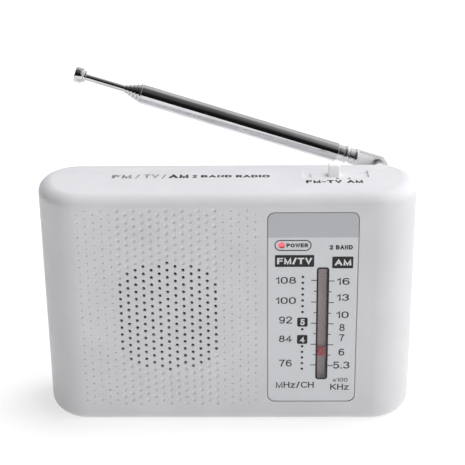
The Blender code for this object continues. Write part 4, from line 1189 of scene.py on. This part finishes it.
BY_SLOT = {
    "pointer_red": POINTER_RED,
    "black_plastic": plastic("black_part", (0.03, 0.03, 0.03), 0.5),
    "ivory_plastic": plastic("ivory_nylon", (0.74, 0.70, 0.58), 0.45),
    "chrome": CHROME,
    "plated_steel": STEEL,
    "board_green": mottled("board_green_fine", (0.03, 0.17, 0.08), (0.05, 0.24, 0.11), 0.4, 600.0),
    "enamelled_copper": metal("enamelled_wire", (0.62, 0.27, 0.10), 0.25, (8.0, 1.0, 1.0), 0.06),
    "sleeve_blue": mottled("sleeve_blue_fine", (0.04, 0.08, 0.26), (0.06, 0.11, 0.32), 0.35, 500.0),
    "filter_orange": mottled("dipped_orange", (0.74, 0.27, 0.04), (0.62, 0.20, 0.03), 0.4, 1200.0),
    "ferrite_grey": mottled("ferrite", (0.07, 0.07, 0.08), (0.11, 0.11, 0.12), 0.7, 2600.0),
    "cone_paper": mottled("paper_cone", (0.03, 0.03, 0.03), (0.055, 0.05, 0.05), 0.9, 1800.0, 0.00006),
    "cell_sleeve": CELL_SLEEVE,
    "case_white": WHITE,
    "plate_silver": SILVER,
    "window_smoke": SMOKE,
    "lamp_red": LAMP_RED,
}


def paint_nodes():
    """Give every CAD node the procedural material of its slot."""
    for part in frame["record"]["subparts"]:
        node = frame["nodes"][part["node"]]
        node.data.materials.clear()
        node.data.materials.append(BY_SLOT[part["material_slot"]])
    washer = frame["nodes"]["antenna_washer"]
    washer.data.materials[0] = metal("dull_washer", (0.90, 0.90, 0.90), 0.62, (1.0, 1.0, 1.0), 0.06)


paint_nodes()

# ---- Stage

CLEAR_WHITE = (1.0, 1.0, 1.0, 1.0)


def camera():
    """The camera, before the radio and looking down on it."""
    yaw = -0.0204
    pitch = 0.3934
    roll = -0.0118
    place = Vector((8.79, -357.56, 205.79)) * MM
    turn = Matrix.Rotation(-yaw, 4, "Z") @ Matrix.Rotation(pi / 2 - pitch, 4, "X") @ Matrix.Rotation(roll, 4, "Z")
    data = bpy.data.cameras.new("camera")
    data.sensor_width = 36.0
    data.lens = 97.59
    data.clip_start = 0.01
    obj = in_scene("camera", data)
    obj.matrix_world = Matrix.Translation(place) @ turn
    bpy.context.scene.camera = obj


def smooth_band(tree, value, start, end, strength):
    """A measure turned into light: none below start, strength above end."""
    return spread(tree, value, 0.0, strength, start, end, "SMOOTHSTEP")


def combine(tree, operation, first, second):
    """Two values combined by a Math node; each is a socket or a number."""
    node = add_node(tree, "Math", {0: first, 1: second})
    node.operation = operation
    return node.outputs["Value"]


def world():
    """Pale surroundings: light from the right, behind and above, a darker room before the radio."""
    made = bpy.data.worlds.new("studio")
    bpy.context.scene.world = made
    made.use_nodes = True
    tree = made.node_tree
    place = add_node(tree, "TexCoord").outputs["Generated"]
    direction = add_node(tree, "SeparateXYZ", {"Vector": place}).outputs
    behind = smooth_band(tree, direction["Y"], -0.1, 0.6, 0.68)
    behind = combine(tree, "MULTIPLY", behind, smooth_band(tree, direction["X"], -0.8, 0.0, 1.0))
    above = smooth_band(tree, direction["Z"], 0.5, 1.0, 0.11)
    right = smooth_band(tree, direction["X"], 0.33, 0.63, 0.78)
    light = combine(tree, "ADD", combine(tree, "ADD", behind, above), combine(tree, "ADD", right, 0.01))
    surroundings = tree.nodes["Background"]
    set_inputs(surroundings, {"Color": CLEAR_WHITE, "Strength": light})
    backdrop = add_node(tree, "Background", {"Color": CLEAR_WHITE, "Strength": 1.0})
    seen = add_node(tree, "LightPath").outputs["Is Camera Ray"]
    shaders = {1: surroundings.outputs["Background"], 2: backdrop.outputs["Background"]}
    choose = add_node(tree, "MixShader", {"Fac": seen, **shaders})
    set_inputs(tree.nodes["World Output"], {"Surface": choose.outputs["Shader"]})


def soft_light(name, place, size, power, colour=(1.0, 1.0, 1.0)):
    """A large area light aimed at the radio, which polished parts don't mirror."""
    data = bpy.data.lights.new(name, "AREA")
    data.size = size
    data.energy = power
    data.color = colour
    obj = in_scene(name, data)
    obj.location = place
    aim = Vector((0.0, 0.0, 0.04)) - Vector(place)
    obj.rotation_euler = aim.to_track_quat("-Z", "Y").to_euler()
    obj.visible_glossy = False


def floor():
    """Wide plain floor, flush with the radio's base, a little brighter far away."""
    size = 3000.0
    bm = bmesh.new()
    add_patch(bm, ((-size, -size), (size, -size), (size, size), (-size, size)))
    paint, tree, shader = new_material("floor_paint", (0.50, 0.50, 0.50), 0.8)
    patches = spread(tree, noise(tree, 40.0), 0.0, 1.0)
    place = add_node(tree, "TexCoord").outputs["Object"]
    reach = add_node(tree, "VectorMath", {0: place})
    reach.operation = "LENGTH"
    far = smooth_band(tree, reach.outputs["Value"], 0.3, 1.2, 0.4)
    set_inputs(shader, {
        "Base Color": mix(tree, patches, (0.505, 0.505, 0.505), (0.495, 0.495, 0.495)),
        "Emission Color": CLEAR_WHITE,
        "Emission Strength": combine(tree, "ADD", far, 0.60),
    })
    finish(bm, "floor", paint)


camera()
world()
soft_light("overhead", (0.3, 0.1, 1.4), 0.6, 14.1, (0.955, 0.97, 1.0))
soft_light("front_right", (0.9, -0.9, 1.0), 1.2, 4.5)
soft_light("front_fill", (0.1, -1.2, 0.5), 1.2, 0.4)
floor()

view = bpy.context.scene.view_settings
view.view_transform = "Standard"
